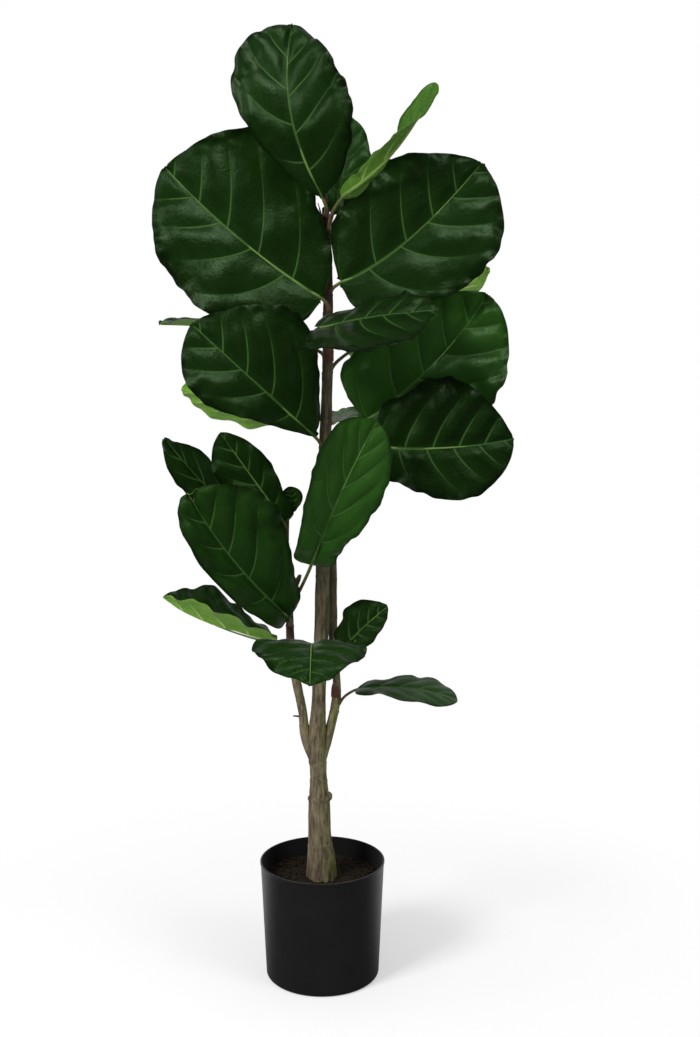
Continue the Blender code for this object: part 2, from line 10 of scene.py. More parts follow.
import bmesh
import bpy
import numpy as np
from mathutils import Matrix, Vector

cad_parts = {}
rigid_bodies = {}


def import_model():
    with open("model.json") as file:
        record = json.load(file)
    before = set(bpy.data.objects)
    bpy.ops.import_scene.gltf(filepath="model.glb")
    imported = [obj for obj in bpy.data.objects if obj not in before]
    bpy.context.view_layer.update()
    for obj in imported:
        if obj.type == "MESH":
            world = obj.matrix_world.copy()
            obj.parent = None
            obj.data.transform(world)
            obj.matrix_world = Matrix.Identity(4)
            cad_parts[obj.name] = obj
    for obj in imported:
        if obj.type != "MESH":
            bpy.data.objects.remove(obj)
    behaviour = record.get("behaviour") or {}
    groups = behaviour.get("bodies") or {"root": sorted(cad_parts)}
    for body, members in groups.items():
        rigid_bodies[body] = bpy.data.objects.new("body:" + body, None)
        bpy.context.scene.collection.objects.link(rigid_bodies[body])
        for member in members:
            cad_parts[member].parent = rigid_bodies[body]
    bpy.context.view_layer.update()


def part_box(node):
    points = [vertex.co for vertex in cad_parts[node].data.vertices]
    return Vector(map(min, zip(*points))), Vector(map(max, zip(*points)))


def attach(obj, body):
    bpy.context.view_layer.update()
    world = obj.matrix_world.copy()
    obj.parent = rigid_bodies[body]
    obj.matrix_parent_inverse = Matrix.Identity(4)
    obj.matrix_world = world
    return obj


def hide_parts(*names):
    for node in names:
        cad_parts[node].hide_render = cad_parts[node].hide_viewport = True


bl_info = {
    "name": "Potted Fiddle Leaf Fig",
    "version": (1, 0, 0),
    "blender": (4, 5, 0),
    "location": "View3D > Sidebar > Fig",
    "description": "Fine leaves, bark, pot and soil for a potted fiddle leaf fig",
    "category": "Object",
}

for _left_over in list(bpy.data.objects):
    bpy.data.objects.remove(_left_over, do_unlink=True)
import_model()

BODY = "root"
_, POT_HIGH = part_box("pot")
SOIL_LOW, SOIL_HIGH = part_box("soil")
MERGE_DISTANCE = 1e-6

# Pot: a tapered round shell with a rounded foot and a small lip.
POT_FOOT_RADIUS = 0.0738
POT_CORNER = 0.0045
POT_WALL = 0.0020
POT_FLOOR = 0.0034
POT_LIP = 0.0030
POT_LIP_STEP = 0.0006              # how far the lip stands out from the wall
POT_LIP_SLOPE = 0.0008             # height of the slope beneath the lip
POT_EDGE = 0.0007                  # rounding of the rim
POT_LIP_ROUNDING = 0.0001          # where the lip turns in to the wall
POT_INNER_TOP = (0.0003, 0.004)    # where the inside turns out to the rim: inward and down from it
POT_FLAT = 0.050                   # radius of the flat middle of the floor, above and below
POT_WALL_ROWS = 40

# Soil: the rows of points from its middle to its edge, how far its edge lies below its middle, the
# noise that crumbles its top (height, grain), and how deep crumbs and clods sit in it. Clods are
# scattered over this share of its radius, with this smallest radius and range of radii.
SOIL_ROWS = 70
SOIL_SIDES = 220
SOIL_FALL = 0.0022
CRUMBS = ((0.0016, 0.009), (0.0012, 0.0045))
GRIT = (0.0006, 0.0022)
CRUMB_DEPTH = 0.0022
CLOD_DEPTH = 0.0012
CLOD_REACH = 0.96
CLOD_SIZE = (0.0007, 0.0021)

# Stems as (x, y, z, radius) along the centre line, from the lowest point up.
CENTRE_STEM = np.array([
    (-0.002, 0.0, 0.080, 0.0150),
    (-0.001, 0.0, 0.128, 0.0190),
    (-0.001, 0.0, 0.154, 0.0185),
    (-0.003, 0.0, 0.181, 0.0152),
    (-0.004, 0.0, 0.235, 0.0137),
    (-0.005, 0.0, 0.275, 0.0106),
    (-0.006, 0.0, 0.300, 0.0118),
    (-0.004, 0.0, 0.368, 0.0090),
    (0.001, 0.0, 0.499, 0.0095),
    (0.002, 0.0, 0.560, 0.0086),
    (0.005, 0.0, 0.702, 0.0075),
    (0.008, 0.0, 0.789, 0.0068),
    (0.009, 0.0, 0.875, 0.0060),
    (0.008, 0.0, 0.947, 0.0052),
    (0.006, 0.0, 0.988, 0.0044),
])
LEFT_STEM = np.array([
    (-0.009, 0.0, 0.290, 0.0080),
    (-0.021, 0.0, 0.320, 0.0066),
    (-0.025, 0.0, 0.355, 0.0058),
    (-0.032, 0.0, 0.390, 0.0056),
    (-0.039, 0.0, 0.434, 0.0054),
    (-0.041, 0.0, 0.480, 0.0050),
    (-0.045, 0.0, 0.550, 0.0045),
    (-0.044, 0.0, 0.606, 0.0036),
])
RIGHT_STEM = np.array([
    (-0.001, 0.0, 0.290, 0.0070),
    (0.011, 0.002, 0.333, 0.0060),
    (0.018, 0.004, 0.367, 0.0055),
    (0.0145, 0.010, 0.445, 0.0056),
    (0.0140, 0.011, 0.510, 0.0054),
    (0.0140, 0.011, 0.570, 0.0050),
    (0.0165, 0.008, 0.650, 0.0046),
    (0.020, 0.004, 0.712, 0.0038),
])

# Leaf scars up each stem: height, how far the ring stands out, its half height, and how much and
# which way (radians round the stem) it tilts.
CENTRE_SCARS = (
    (0.176, 0.0006, 0.0020, 0.001, 1.0), (0.2385, 0.0016, 0.0026, 0.0012, 0.4),
    (0.262, 0.0006, 0.0016, 0.001, 4.0), (0.286, 0.0009, 0.0022, 0.002, 2.0),
    (0.352, 0.0004, 0.0012, 0.001, 1.0), (0.416, 0.0005, 0.0013, 0.002, 4.7),
    (0.470, 0.0004, 0.0013, 0.001, 2.5), (0.531, 0.0005, 0.0014, 0.001, 0.0),
    (0.603, 0.0004, 0.0012, 0.001, 1.2), (0.655, 0.0004, 0.0013, 0.001, 5.0),
    (0.692, 0.0006, 0.0015, 0.001, 3.1), (0.727, 0.0007, 0.0016, 0.001, 2.0),
    (0.786, 0.0008, 0.0018, 0.001, 0.5), (0.804, 0.0006, 0.0014, 0.001, 3.0),
    (0.832, 0.0006, 0.0015, 0.001, 4.7), (0.858, 0.0006, 0.0014, 0.001, 2.5),
    (0.880, 0.0006, 0.0014, 0.001, 0.2), (0.915, 0.0005, 0.0013, 0.001, 3.3),
    (0.946, 0.0006, 0.0014, 0.001, 0.3), (0.974, 0.0005, 0.0012, 0.001, 4.0),
)
LEFT_SCARS = (
    (0.334, 0.0004, 0.0012, 0.001, 2.0), (0.370, 0.0005, 0.0013, 0.001, 1.0),
    (0.402, 0.0004, 0.0011, 0.001, 5.0), (0.432, 0.0006, 0.0014, 0.001, 3.1),
    (0.466, 0.0006, 0.0014, 0.001, 4.5), (0.488, 0.0006, 0.0014, 0.001, 1.0),
    (0.520, 0.0004, 0.0012, 0.001, 2.0), (0.546, 0.0005, 0.0012, 0.001, 3.1),
    (0.572, 0.0005, 0.0012, 0.001, 4.0),
)
RIGHT_SCARS = (
    (0.352, 0.0006, 0.0013, 0.001, 0.2), (0.380, 0.0006, 0.0014, 0.001, 4.8),
    (0.420, 0.0004, 0.0012, 0.001, 1.0), (0.468, 0.0004, 0.0012, 0.001, 2.0),
    (0.525, 0.0004, 0.0012, 0.001, 3.0), (0.585, 0.0004, 0.0012, 0.001, 0.5),
    (0.640, 0.0004, 0.0012, 0.001, 4.0), (0.698, 0.0005, 0.0012, 0.001, 5.5),
)

# How each stem is finished: sides round it, the seed of its bark, its root flutes (how many, how
# deep, and the height where they end), its scars, the heights between which it turns to young
# wood, and how green its foot is.
STEMS = (
    dict(path=CENTRE_STEM, sides=72, seed=11, flutes=((13, 0.0022, 0.165), (5, 0.0012, 0.22)),
         scars=CENTRE_SCARS, young=(0.83, 0.90), green=0.0),
    dict(path=LEFT_STEM, sides=44, seed=31, flutes=(), scars=LEFT_SCARS, young=(0.40, 0.47), green=0.0),
    dict(path=RIGHT_STEM, sides=44, seed=51, flutes=(), scars=RIGHT_SCARS, young=(0.62, 0.74),
         green=0.7),
)
STEM_STEP = 0.0015                              # between two rings
BARK = ((0.00055, 0.0042), (0.0003, 0.0021))    # coarse and fine relief: height, grain
BARK_STRETCH = 0.16                             # shrinks heights in its noise, to draw it out upright

KNOT = dict(centre=(0.0040, -0.001, 0.240), radius=0.0095, flatness=0.75)
TWIG = dict(start=(-0.024, 0.0, 0.345), end=(-0.0375, -0.002, 0.348), radius=0.0012, sides=12)

# Blade outline.
LOBE_PLACE = 0.06     # of the blade's length
LOBE_SPREAD = 0.07
LOBE_BACK = 0.5       # how far the lobes run back past the neck, of their own size
BASE_LENGTH = 0.02    # of the blade's length, over which the blade opens from the stalk
NARROWEST = 0.05      # half width at the neck and the tip, of the greatest half width
REACH_GROWTH = 1.5    # powers by which the reach and the waves grow from the midrib to the margin
WAVE_GROWTH = 2.2
SIDE_PHASE = 1.9      # radians between the waves of the left and the right margin
RIB_STEPS = 201

# Blade points: distances of the first ones from the midrib and of the last ones from the margin.
BESIDE_RIB = (0.0, 0.0004, 0.0009, 0.0016, 0.0026)
BESIDE_MARGIN = (0.0009, 0.0003, 0.0)
MARGIN_ROUNDING = 24    # power that keeps a blade's thickness up to its margin

# Fine relief of a blade, each with its grain in metres.
NIBBLE_GRAIN = 0.010
HOLLOW_GRAIN = 0.042
RIPPLE_GRAINS = (0.011, 0.024)
RIPPLE_GAIN = 1.6
FIELD_WIDTH = 0.022          # veins closer than this have lower fields between them
FIELD_GRAIN = 0.03
SKIN_HEIGHT = 0.0002
SKIN_GRAIN = 0.008
GROOVE = (0.0005, 0.0013)    # depth and half width of the groove over the midrib

# Stalks: how far one runs on in line with its blade, of its span; its radius at the foot, of its
# own; how much it swells beside the stem, and over what length.
STALK_BOW = 0.45
STALK_FOOT = 1.5
STALK_SWELL = (0.30, 0.006)
STALK_STEP = 0.0016
STALK_SIDES = 14
SUNK = 0.001         # a stalk's point this deep in a stem is inside it

# Midrib under the blade: its radius at the neck and how much of it is lost by the tip, of the
# stalk's; how far its middle lies under the blade, of its radius and in metres.
MIDRIB_RADIUS = (0.95, 0.75)
MIDRIB_DEPTH = (0.55, 0.0002)
MIDRIB_POINTS = 13

# Side veins leave the midrib at these slopes, in blade lengths for each half width of run.
VEIN_LEAN = 0.03
VEIN_TURN = 0.30     # further slope towards the tip
VEIN_ARCH = 0.22     # bend towards the tip on the way out
VEIN_CROWDING = 0.15
VEIN_OFFSET = 0.22   # how far a right side vein stands from its left partner, as a share of the spacing

# What a leaf has unless its own entry says otherwise. Angles are in degrees.
#   fold: how far each half rises from the midrib    cup: further turn of the left and right margins
#   wave, waves: height and number of margin waves    broad: widest place along the blade
#   full: 0.5 gives a full oval, 0.8 a slender one    lobe: size of the two lobes beside the stalk
#   reach: how far the left and right margins run ahead of the rib    twist: turn over its length
#   sweep: above 1 puts most of that reach near the tip
#   left, right: how wide that half is near its base, in the middle and near its tip
LEAF_DEFAULTS = dict(
    fold=8, cup=(0, 0), wave=0.004, waves=3.0, phase=0.0,
    broad=0.50, full=0.62, lobe=0.14, reach=(0.10, 0.10), sweep=0.8, twist=0,
    left=(1, 1, 1), right=(1, 1, 1), stalk=0.0022,
)

# Each leaf: foot on its stem, neck where stalk meets blade, a point halfway along the midrib, the
# tip, the direction its upper side looks, and its width.
LEAVES = {
    "leaf_01": dict(foot=(0.015, 0.003, 0.352), neck=(0.049, -0.010, 0.386),
                    middle=(0.109, -0.030, 0.392), tip=(0.171, -0.030, 0.378), face=(0.0, -0.25, 1.0),
                    width=0.068, fold=5, cup=(-10, -10), wave=0.002, broad=0.55, full=0.45,
                    left=(0.9, 0.95, 1.15), stalk=0.0017),
    "leaf_02": dict(foot=(0.018, 0.005, 0.380), neck=(0.028, -0.008, 0.437),
                    middle=(0.055, -0.030, 0.472), tip=(0.083, -0.045, 0.501), face=(0.0, -0.8, 0.6),
                    width=0.060, fold=5, wave=0.002, left=(1.5, 1.1, 0.7), right=(1.2, 0.6, 0.7),
                    stalk=0.0017),
    "leaf_03": dict(foot=(-0.039, 0.0, 0.432), neck=(-0.062, -0.020, 0.449),
                    middle=(-0.132, -0.035, 0.475), tip=(-0.196, -0.040, 0.511), face=(0.0, 0.0, 1.0),
                    width=0.100, fold=30, cup=(0, 22), wave=0.003, stalk=0.0018),
    "leaf_04": dict(foot=(-0.002, 0.0, 0.416), neck=(-0.011, -0.040, 0.449),
                    middle=(-0.011, -0.090, 0.456), tip=(-0.011, -0.145, 0.425), face=(0.0, -0.5, 0.85),
                    width=0.145, fold=5, cup=(-10, 0), broad=0.42, full=0.8, lobe=0.20,
                    left=(1.1, 0.8, 0.8), right=(1.1, 0.95, 0.7)),
    "leaf_05": dict(foot=(-0.040, 0.0, 0.466), neck=(-0.042, -0.022, 0.482),
                    middle=(-0.105, -0.060, 0.559), tip=(-0.159, -0.075, 0.646), face=(0.05, -0.9, 0.4),
                    width=0.135, fold=14, cup=(65, 5), full=0.55, lobe=0.08, left=(0.8, 0.78, 0.8),
                    right=(0.95, 1.2, 1.4)),
    "leaf_06": dict(foot=(-0.045, 0.0, 0.546), neck=(-0.076, 0.010, 0.568),
                    middle=(-0.143, 0.010, 0.641), tip=(-0.195, -0.010, 0.705), face=(-0.5, -0.6, 0.5),
                    width=0.060, fold=20, left=(1.0, 0.85, 0.9), right=(1.0, 1.0, 1.4), stalk=0.0016),
    "leaf_07": dict(foot=(-0.041, 0.0, 0.488), neck=(-0.010, -0.042, 0.556),
                    middle=(0.027, -0.095, 0.652), tip=(0.067, -0.105, 0.733), face=(0.15, -0.9, 0.25),
                    width=0.078, fold=10, cup=(25, 0), broad=0.54, left=(1.7, 0.4, 2.3),
                    right=(1.5, 1.0, 1.4)),
    "leaf_08": dict(foot=(-0.045, 0.0, 0.572), neck=(-0.047, -0.012, 0.602),
                    middle=(-0.088, -0.020, 0.662), tip=(-0.124, -0.020, 0.713), face=(-0.2, -0.9, 0.3),
                    width=0.072, fold=10, left=(1.0, 1.05, 1.1), right=(1.0, 0.8, 0.65), stalk=0.0016),
    "leaf_09": dict(foot=(-0.044, 0.0, 0.600), neck=(-0.040, -0.004, 0.616),
                    middle=(-0.038, -0.008, 0.630), tip=(-0.041, -0.010, 0.645), face=(0.0, -1.0, 0.2),
                    width=0.034, fold=25, wave=0.001, stalk=0.0012),
    "leaf_10": dict(foot=(0.005, 0.0, 0.689), neck=(-0.008, -0.013, 0.708),
                    middle=(-0.082, -0.045, 0.779), tip=(-0.154, -0.045, 0.846), face=(-0.15, -0.9, 0.4),
                    width=0.138, broad=0.56, full=0.72, lobe=0.02, left=(0.6, 0.9, 1.05),
                    right=(1.9, 1.35, 0.95)),
    "leaf_11": dict(foot=(0.005, 0.0, 0.696), neck=(0.013, 0.020, 0.722),
                    middle=(0.022, 0.070, 0.724), tip=(0.030, 0.120, 0.734), face=(0.0, -0.1, 1.0),
                    width=0.050, fold=8, left=(0.7, 0.7, 0.7), right=(1.3, 1.3, 1.3)),
    "leaf_12": dict(foot=(0.0195, 0.0045, 0.698), neck=(0.070, -0.040, 0.698),
                    middle=(0.150, -0.070, 0.699), tip=(0.230, -0.080, 0.711), face=(0.05, -0.99, 0.05),
                    width=0.150, fold=6, broad=0.46, left=(1.2, 1.2, 1.0), right=(0.8, 0.85, 0.9)),
    "leaf_13": dict(foot=(0.006, 0.0, 0.727), neck=(-0.021, 0.030, 0.732),
                    middle=(-0.100, 0.050, 0.737), tip=(-0.182, 0.070, 0.762), face=(-0.1, 0.75, 0.7),
                    width=0.102, fold=10, cup=(10, 10)),
    "leaf_14": dict(foot=(0.020, 0.004, 0.709), neck=(0.058, -0.008, 0.729),
                    middle=(0.141, -0.015, 0.800), tip=(0.205, 0.0, 0.882), face=(0.0, -0.98, 0.15),
                    width=0.160, broad=0.44, left=(1.4, 0.9, 0.85), right=(1.3, 0.98, 1.0)),
    "leaf_15": dict(foot=(0.008, 0.0, 0.786), neck=(0.039, 0.030, 0.813),
                    middle=(0.125, 0.050, 0.863), tip=(0.214, 0.060, 0.913), face=(0.0, 0.5, 0.85),
                    width=0.120, fold=5),
    "leaf_16": dict(foot=(0.008, 0.0, 0.804), neck=(-0.017, 0.030, 0.818),
                    middle=(-0.104, 0.060, 0.838), tip=(-0.209, 0.080, 0.845), face=(0.0, -0.12, 1.0),
                    width=0.110, fold=10),
    "leaf_17": dict(foot=(0.0085, 0.0, 0.830), neck=(0.000, -0.045, 0.841),
                    middle=(0.069, -0.080, 0.854), tip=(0.138, -0.095, 0.862), face=(-0.05, -0.55, 0.83),
                    width=0.140, fold=6, cup=(-5, 5), wave=0.002, lobe=0.24, left=(0.6, 0.6, 0.6),
                    right=(1.6, 1.3, 1.2)),
    "leaf_18": dict(foot=(0.009, 0.0, 0.858), neck=(0.001, -0.016, 0.877),
                    middle=(-0.093, -0.016, 0.944), tip=(-0.189, 0.000, 1.034), face=(-0.1, -0.97, 0.2),
                    width=0.196, fold=6, cup=(5, -10), wave=0.006, broad=0.50, lobe=0.05,
                    reach=(0.06, 0.20), sweep=1.0, left=(1.3, 0.88, 0.8), right=(1.38, 1.25, 1.15)),
    "leaf_19": dict(foot=(0.009, 0.0, 0.880), neck=(0.026, -0.016, 0.896),
                    middle=(0.106, -0.024, 0.946), tip=(0.194, -0.015, 1.037), face=(0.05, -0.98, 0.15),
                    width=0.175, fold=6, cup=(0, 5), lobe=0.08, left=(1.6, 0.88, 0.85),
                    right=(1.25, 0.92, 1.05)),
    "leaf_20": dict(foot=(0.008, 0.0, 0.946), neck=(0.030, -0.030, 0.998),
                    middle=(0.092, -0.068, 1.050), tip=(0.135, -0.060, 1.123), face=(-0.75, 0.1, 0.6),
                    width=0.040, fold=20, cup=(15, 15), wave=0.002, waves=2.0, full=0.5, twist=160,
                    stalk=0.0018),
    "leaf_21": dict(foot=(0.0075, 0.0, 0.957), neck=(0.016, 0.020, 0.982),
                    middle=(0.029, 0.045, 1.041), tip=(0.038, 0.060, 1.100), face=(0.2, -0.95, 0.2),
                    width=0.068, fold=10, cup=(5, 5), left=(1.0, 1.0, 1.0), right=(1.0, 0.85, 0.9),
                    stalk=0.0016),
    "leaf_22": dict(foot=(0.006, 0.0, 0.974), neck=(0.003, -0.024, 0.996),
                    middle=(-0.034, -0.045, 1.094), tip=(-0.032, -0.010, 1.196),
                    face=(-0.12, -0.95, 0.12), width=0.150, fold=14, cup=(-8, 2), wave=0.005, waves=2.5,
                    broad=0.58, lobe=0.02, reach=(0.12, 0.06), left=(0.75, 1.0, 0.75),
                    right=(1.9, 0.72, 0.68)),
}

# What the fine surface of a leaf has unless its own entry says otherwise.
#   tone: 0 for an old deep green leaf, 1 for a fresh one, 2 for the newest; on some leaves it also
#       paints light and shade
#   pairs: how many pairs of side veins
#   puff: height of the blade between its veins       ripple: height of the small waves at the margin
#   buckle: height of the broad hollows of the blade   ragged: how uneven the margin is
#   pale: painted light and shade on the underside, from its shaded colour to its lit one
LOOK_DEFAULTS = dict(tone=0.08, pairs=4.5, puff=0.0040, ripple=0.0020, buckle=0.0030, ragged=0.035,
                     pale=0.6)
LOOKS = {
    "leaf_01": dict(tone=0.45, puff=0.0015, ripple=0.0008, ragged=0.015, buckle=0.0010),
    "leaf_03": dict(pale=0.9),
    "leaf_04": dict(tone=0.25),
    # Painted light: a fresher tone stands in for highlights.
    "leaf_05": dict(tone=0.35, puff=0.0060, buckle=0.0050),
    "leaf_07": dict(tone=0.9),
    "leaf_09": dict(puff=0.0006, ripple=0.0005, buckle=0),
    "leaf_11": dict(tone=2.0, pale=1.0, puff=0.0010, ripple=0.0008, buckle=0),
    # Painted shade: the deepest tone darkens this leaf.
    "leaf_12": dict(tone=0.0),
    "leaf_13": dict(pale=1.0),
    "leaf_14": dict(tone=0.75, puff=0.0055, buckle=0.0045),
    "leaf_15": dict(pale=1.0),
    "leaf_17": dict(tone=0.0, buckle=0.0012, puff=0.0025),
    "leaf_20": dict(tone=2.0, pale=0.3, puff=0.0008, buckle=0.0010),
    # Painted light: a fresh tone lifts a leaf that sits in shadow.
    "leaf_21": dict(tone=1.0),
}

# Papery bracts that wrap a stem: foot on the stem's centre line, how far round they turn (degrees,
# 0 faces the front), the stem's radius there, height, and how far the pointed tip leans away.
BRACTS = {
    "bract_left": dict(foot=(-0.0412, 0.0, 0.488), turn=132, radius=0.0050, height=0.042, lean=0.013),
    "bract_right": dict(foot=(0.0180, 0.005, 0.372), turn=-10, radius=0.0060, height=0.022, lean=0.003),
    "bract_middle": dict(foot=(0.0084, 0.0, 0.800), turn=20, radius=0.0067, height=0.022, lean=0.004),
    "bract_upper": dict(foot=(0.0072, 0.0, 0.962), turn=-80, radius=0.0053, height=0.030, lean=0.004),
}
BRACT_SWEEP = 110
BRACT_NARROWING = 0.85
BRACT_CLEARANCE = 0.0011    # between a stem and the middle of its bract
BRACT_GRID = (40, 37)

# The closed bud that ends the centre stem; fullness below 1 puts its widest place low.
BUD = dict(foot=(0.0065, 0.0035, 0.9886), height=0.030, radius=0.0040, fullness=0.6, lean=8)
BUD_ROWS = 60
BUD_SIDES = 36

# How far a fine piece's box may differ from its CAD node's; the rough pieces are bark and soil.
LEAF_SLACK = 0.008
ROUGH_SLACK = 0.004
BRACT_SLACK = 0.003
POT_SLACK = 0.001

WHITE = (1.0, 1.0, 1.0)
BLACK = (0.0, 0.0, 0.0)

FLOOR_ROWS = 40
FLOOR_SIDES = 64
FLOOR_HEIGHT = -0.0002

# The camera stands in front of the plant at this place and looks down by the tilt, in degrees.
CAMERA = dict(place=(0.036, -1.70, 0.85), tilt=8.25, lens=47.42, sensor=36.0)

# Softboxes: name, place, the height above the origin that they look at, width and height, power in
# watts, and what they do: a "body" light only lights matt colour, and a "sheen" light is only seen
# in gloss.
SOFTBOXES = (
    ("key_left", (-1.9, -1.9, 2.3), 0.75, (1.0, 1.0), 100, "body"),
    ("key_right", (2.1, -1.6, 1.9), 0.70, (1.1, 1.5), 26, "body"),
    ("overhead", (0.0, -0.4, 3.1), 0.60, (1.6, 1.6), 16, "body"),
    ("sheen_left", (-2.4, -1.2, 2.2), 0.80, (0.7, 1.3), 14, "sheen"),
    ("sheen_top", (0.3, -1.3, 2.9), 0.80, (1.2, 0.8), 19, "sheen"),
)


# ---------------------------------------------------------------- shapes as whole arrays


def unit(vectors):
    """Vectors scaled to length one along their last axis."""
    vectors = np.asarray(vectors, float)
    return vectors / np.linalg.norm(vectors, axis=-1, keepdims=True)


def ramp(values, low, high):
    """0 below low, 1 above high, with a smooth S between."""
    share = np.clip((values - low) / (high - low), 0, 1)
    return share * share * (3 - 2 * share)


def noise(points, size, seed):
    """Smooth noise from -1 to 1: random values on a lattice of this size, blended by a smooth S."""
    table = np.random.default_rng(seed).uniform(-1, 1, (32, 32, 32))
    place = np.asarray(points, float) / size
    cell = np.floor(place).astype(int)
    part = place - cell
    part = part * part * (3 - 2 * part)
    total = np.zeros(place.shape[:-1])
    for corner in np.ndindex(2, 2, 2):
        x, y, z = np.moveaxis((cell + corner) % 32, -1, 0)
        weight = np.where(np.array(corner) == 1, part, 1 - part).prod(axis=-1)
        total += table[x, y, z] * weight
    return total


def smooth_path(knots, spacing):
    """Evenly spaced points on the curve through the knots.

    Each stretch is a cubic whose end slopes are the slopes of the knots against chord length.
    """
    knots = np.asarray(knots, float)
    chords = np.linalg.norm(np.diff(knots[:, :3], axis=0), axis=1)
    reached = np.concatenate(([0], np.cumsum(chords)))
    slopes = np.gradient(knots, reached, axis=0)
    travel = np.linspace(0, reached[-1], max(int(reached[-1] / spacing), 6))
    stretch = np.clip(np.searchsorted(reached, travel, side="right") - 1, 0, len(chords) - 1)
    step = chords[stretch][:, None]
    share = (travel - reached[stretch])[:, None] / step
    return ((2 * share ** 3 - 3 * share ** 2 + 1) * knots[stretch]
            + (share ** 3 - 2 * share ** 2 + share) * step * slopes[stretch]
            + (3 * share ** 2 - 2 * share ** 3) * knots[stretch + 1]
            + (share ** 3 - share ** 2) * step * slopes[stretch + 1])


def circle(sides):
    """Even angles once round."""
    return np.linspace(0, 2 * np.pi, sides, endpoint=False)


def arc(centre, radius, start, end, count):
    """Points of an arc in a profile: centre + radius * (cos a, sin a), with a in degrees."""
    angle = np.radians(np.linspace(start, end, count))
    return np.column_stack([centre[0] + radius * np.cos(angle), centre[1] + radius * np.sin(angle)])


def ball(rows, sides, tall):
    """Ways out from a ball's middle, (sin d cos a, sin d sin a, tall * cos d), from the top down."""
    down = np.linspace(0, np.pi, rows)[:, None]
    turn = circle(sides)[None, :]
    return np.stack(np.broadcast_arrays(np.sin(down) * np.cos(turn), np.sin(down) * np.sin(turn),
                                        np.cos(down) * tall), axis=-1)


def carried_ring(path, radius, reference):
    """A ring carried along a path: point + radius * (cos a * first + sin a * second).

    First is the reference made square to the path and second is square to both. The radius is one
    value for each path point and ring point; where it is zero the ring closes to a point.
    """
    ahead = unit(np.gradient(path, axis=0))
    reference = np.asarray(reference, float)
    first = unit(reference - ahead * (ahead @ reference)[:, None])
    second = np.cross(ahead, first)
    angle = circle(radius.shape[1])[None, :, None]
    ring = np.cos(angle) * first[:, None] + np.sin(angle) * second[:, None]
    return path[:, None] + ring * radius[..., None]


def turned_profile(radius, height, sides):
    """A profile turned about Z: (r cos a, r sin a, h), rows down the profile."""
    angle = circle(sides)
    rows = [np.outer(radius, np.cos(angle)), np.outer(radius, np.sin(angle)),
            np.repeat(np.asarray(height)[:, None], sides, axis=1)]
    return np.stack(rows, axis=-1)


def normals(grid):
    """Unit normals of a point grid, square to its rows and columns."""
    return unit(np.cross(np.gradient(grid, axis=1), np.gradient(grid, axis=0)))


def grid_corners(rows, columns, closed=False, flipped=False):
    """Corner numbers of the quads of a point grid; closed joins the last column to the first."""
    number = np.arange(rows * columns).reshape(rows, columns)
    if closed:
        number = np.concatenate([number, number[:, :1]], axis=1)
    corners = np.stack([number[:-1, :-1], number[:-1, 1:], number[1:, 1:], number[1:, :-1]], axis=-1)
    corners = corners.reshape(-1, 4)
    return corners[:, ::-1] if flipped else corners


class Surface:
    """Point grids gathered into one mesh, each with its material slot and named attributes."""

    def __init__(self):
        self.points, self.corners, self.slots, self.data = [], [], [], {}
        self.count = 0

    def add(self, grid, slot=0, closed=False, flipped=False, **values):
        """Add a grid. A value is given for each point, for each row as a column, or once for all."""
        rows, columns = grid.shape[:2]
        corners = grid_corners(rows, columns, closed, flipped)
        for name, value in values.items():
            value = np.asarray(value, float)
            if value.ndim < 2:
                value = np.broadcast_to(value, (rows, columns, *value.shape))
            elif value.shape == (rows, 1):
                value = np.repeat(value, columns, axis=1)
            flat = value.reshape(rows * columns, -1)
            self.data.setdefault(name, []).append(flat[corners.ravel()])
        self.points.append(grid.reshape(-1, 3))
        self.corners.append(corners + self.count)
        self.slots.append(np.full(len(corners), slot))
        self.count += rows * columns

    def mesh(self, name):
        """The finished mesh: doubles merged, so poles and margins close, and shaded smooth."""
        corners = np.concatenate(self.corners)
        mesh = bpy.data.meshes.new(name)
        mesh.vertices.add(self.count)
        mesh.vertices.foreach_set("co", np.concatenate(self.points).astype(np.float32).ravel())
        mesh.loops.add(corners.size)
        mesh.loops.foreach_set("vertex_index", corners.astype(np.int32).ravel())
        mesh.polygons.add(len(corners))
        mesh.polygons.foreach_set("loop_start", np.arange(0, corners.size, 4, dtype=np.int32))
        mesh.polygons.foreach_set("material_index", np.concatenate(self.slots).astype(np.int32))
        for label, parts in self.data.items():
            values = np.concatenate(parts).astype(np.float32)
            kind, key = ("FLOAT", "value") if values.shape[1] == 1 else ("FLOAT_VECTOR", "vector")
            mesh.attributes.new(label, kind, "CORNER").data.foreach_set(key, values.ravel())
        mesh.update(calc_edges=True)
        cage = bmesh.new()
        cage.from_mesh(mesh)
        bmesh.ops.remove_doubles(cage, verts=cage.verts, dist=MERGE_DISTANCE)
        cage.to_mesh(mesh)
        cage.free()
        mesh.shade_smooth()
        return mesh


def place_piece(name, mesh, node, materials, slack):
    """A finished piece that rides on the body, stands for its CAD node and fits the node's box."""
    piece = bpy.data.objects.new(name, mesh)
    bpy.context.scene.collection.objects.link(piece)
    for material in materials:
        mesh.materials.append(material)
    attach(piece, BODY)
    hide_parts(node)
    check_fit(piece, node, slack)


def check_fit(piece, node, slack):
    """Raise if the piece's box differs from its CAD node's box by more than the slack."""
    low, high = (np.array(corner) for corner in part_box(node))
    points = np.empty(len(piece.data.vertices) * 3, np.float32)
    piece.data.vertices.foreach_get("co", points)
    points = points.reshape(-1, 3)
    miss = max(np.abs(points.min(0) - low).max(), np.abs(points.max(0) - high).max())
    if miss > slack:
        raise RuntimeError(f"{piece.name} misses the box of {node} by {miss * 1000:.1f} mm")


# ---------------------------------------------------------------- leaves


def rib_curve(leaf, share):
    """Points and directions on the midrib, a quadratic curve through neck, middle and tip."""
    neck, middle, tip = (np.array(leaf[key]) for key in ("neck", "middle", "tip"))
    bend = 2 * middle - (neck + tip) / 2
    share = share[..., None]
    points = (1 - share) ** 2 * neck + 2 * share * (1 - share) * bend + share ** 2 * tip
    directions = unit((1 - share) * (bend - neck) + share * (tip - bend))
    return points, directions


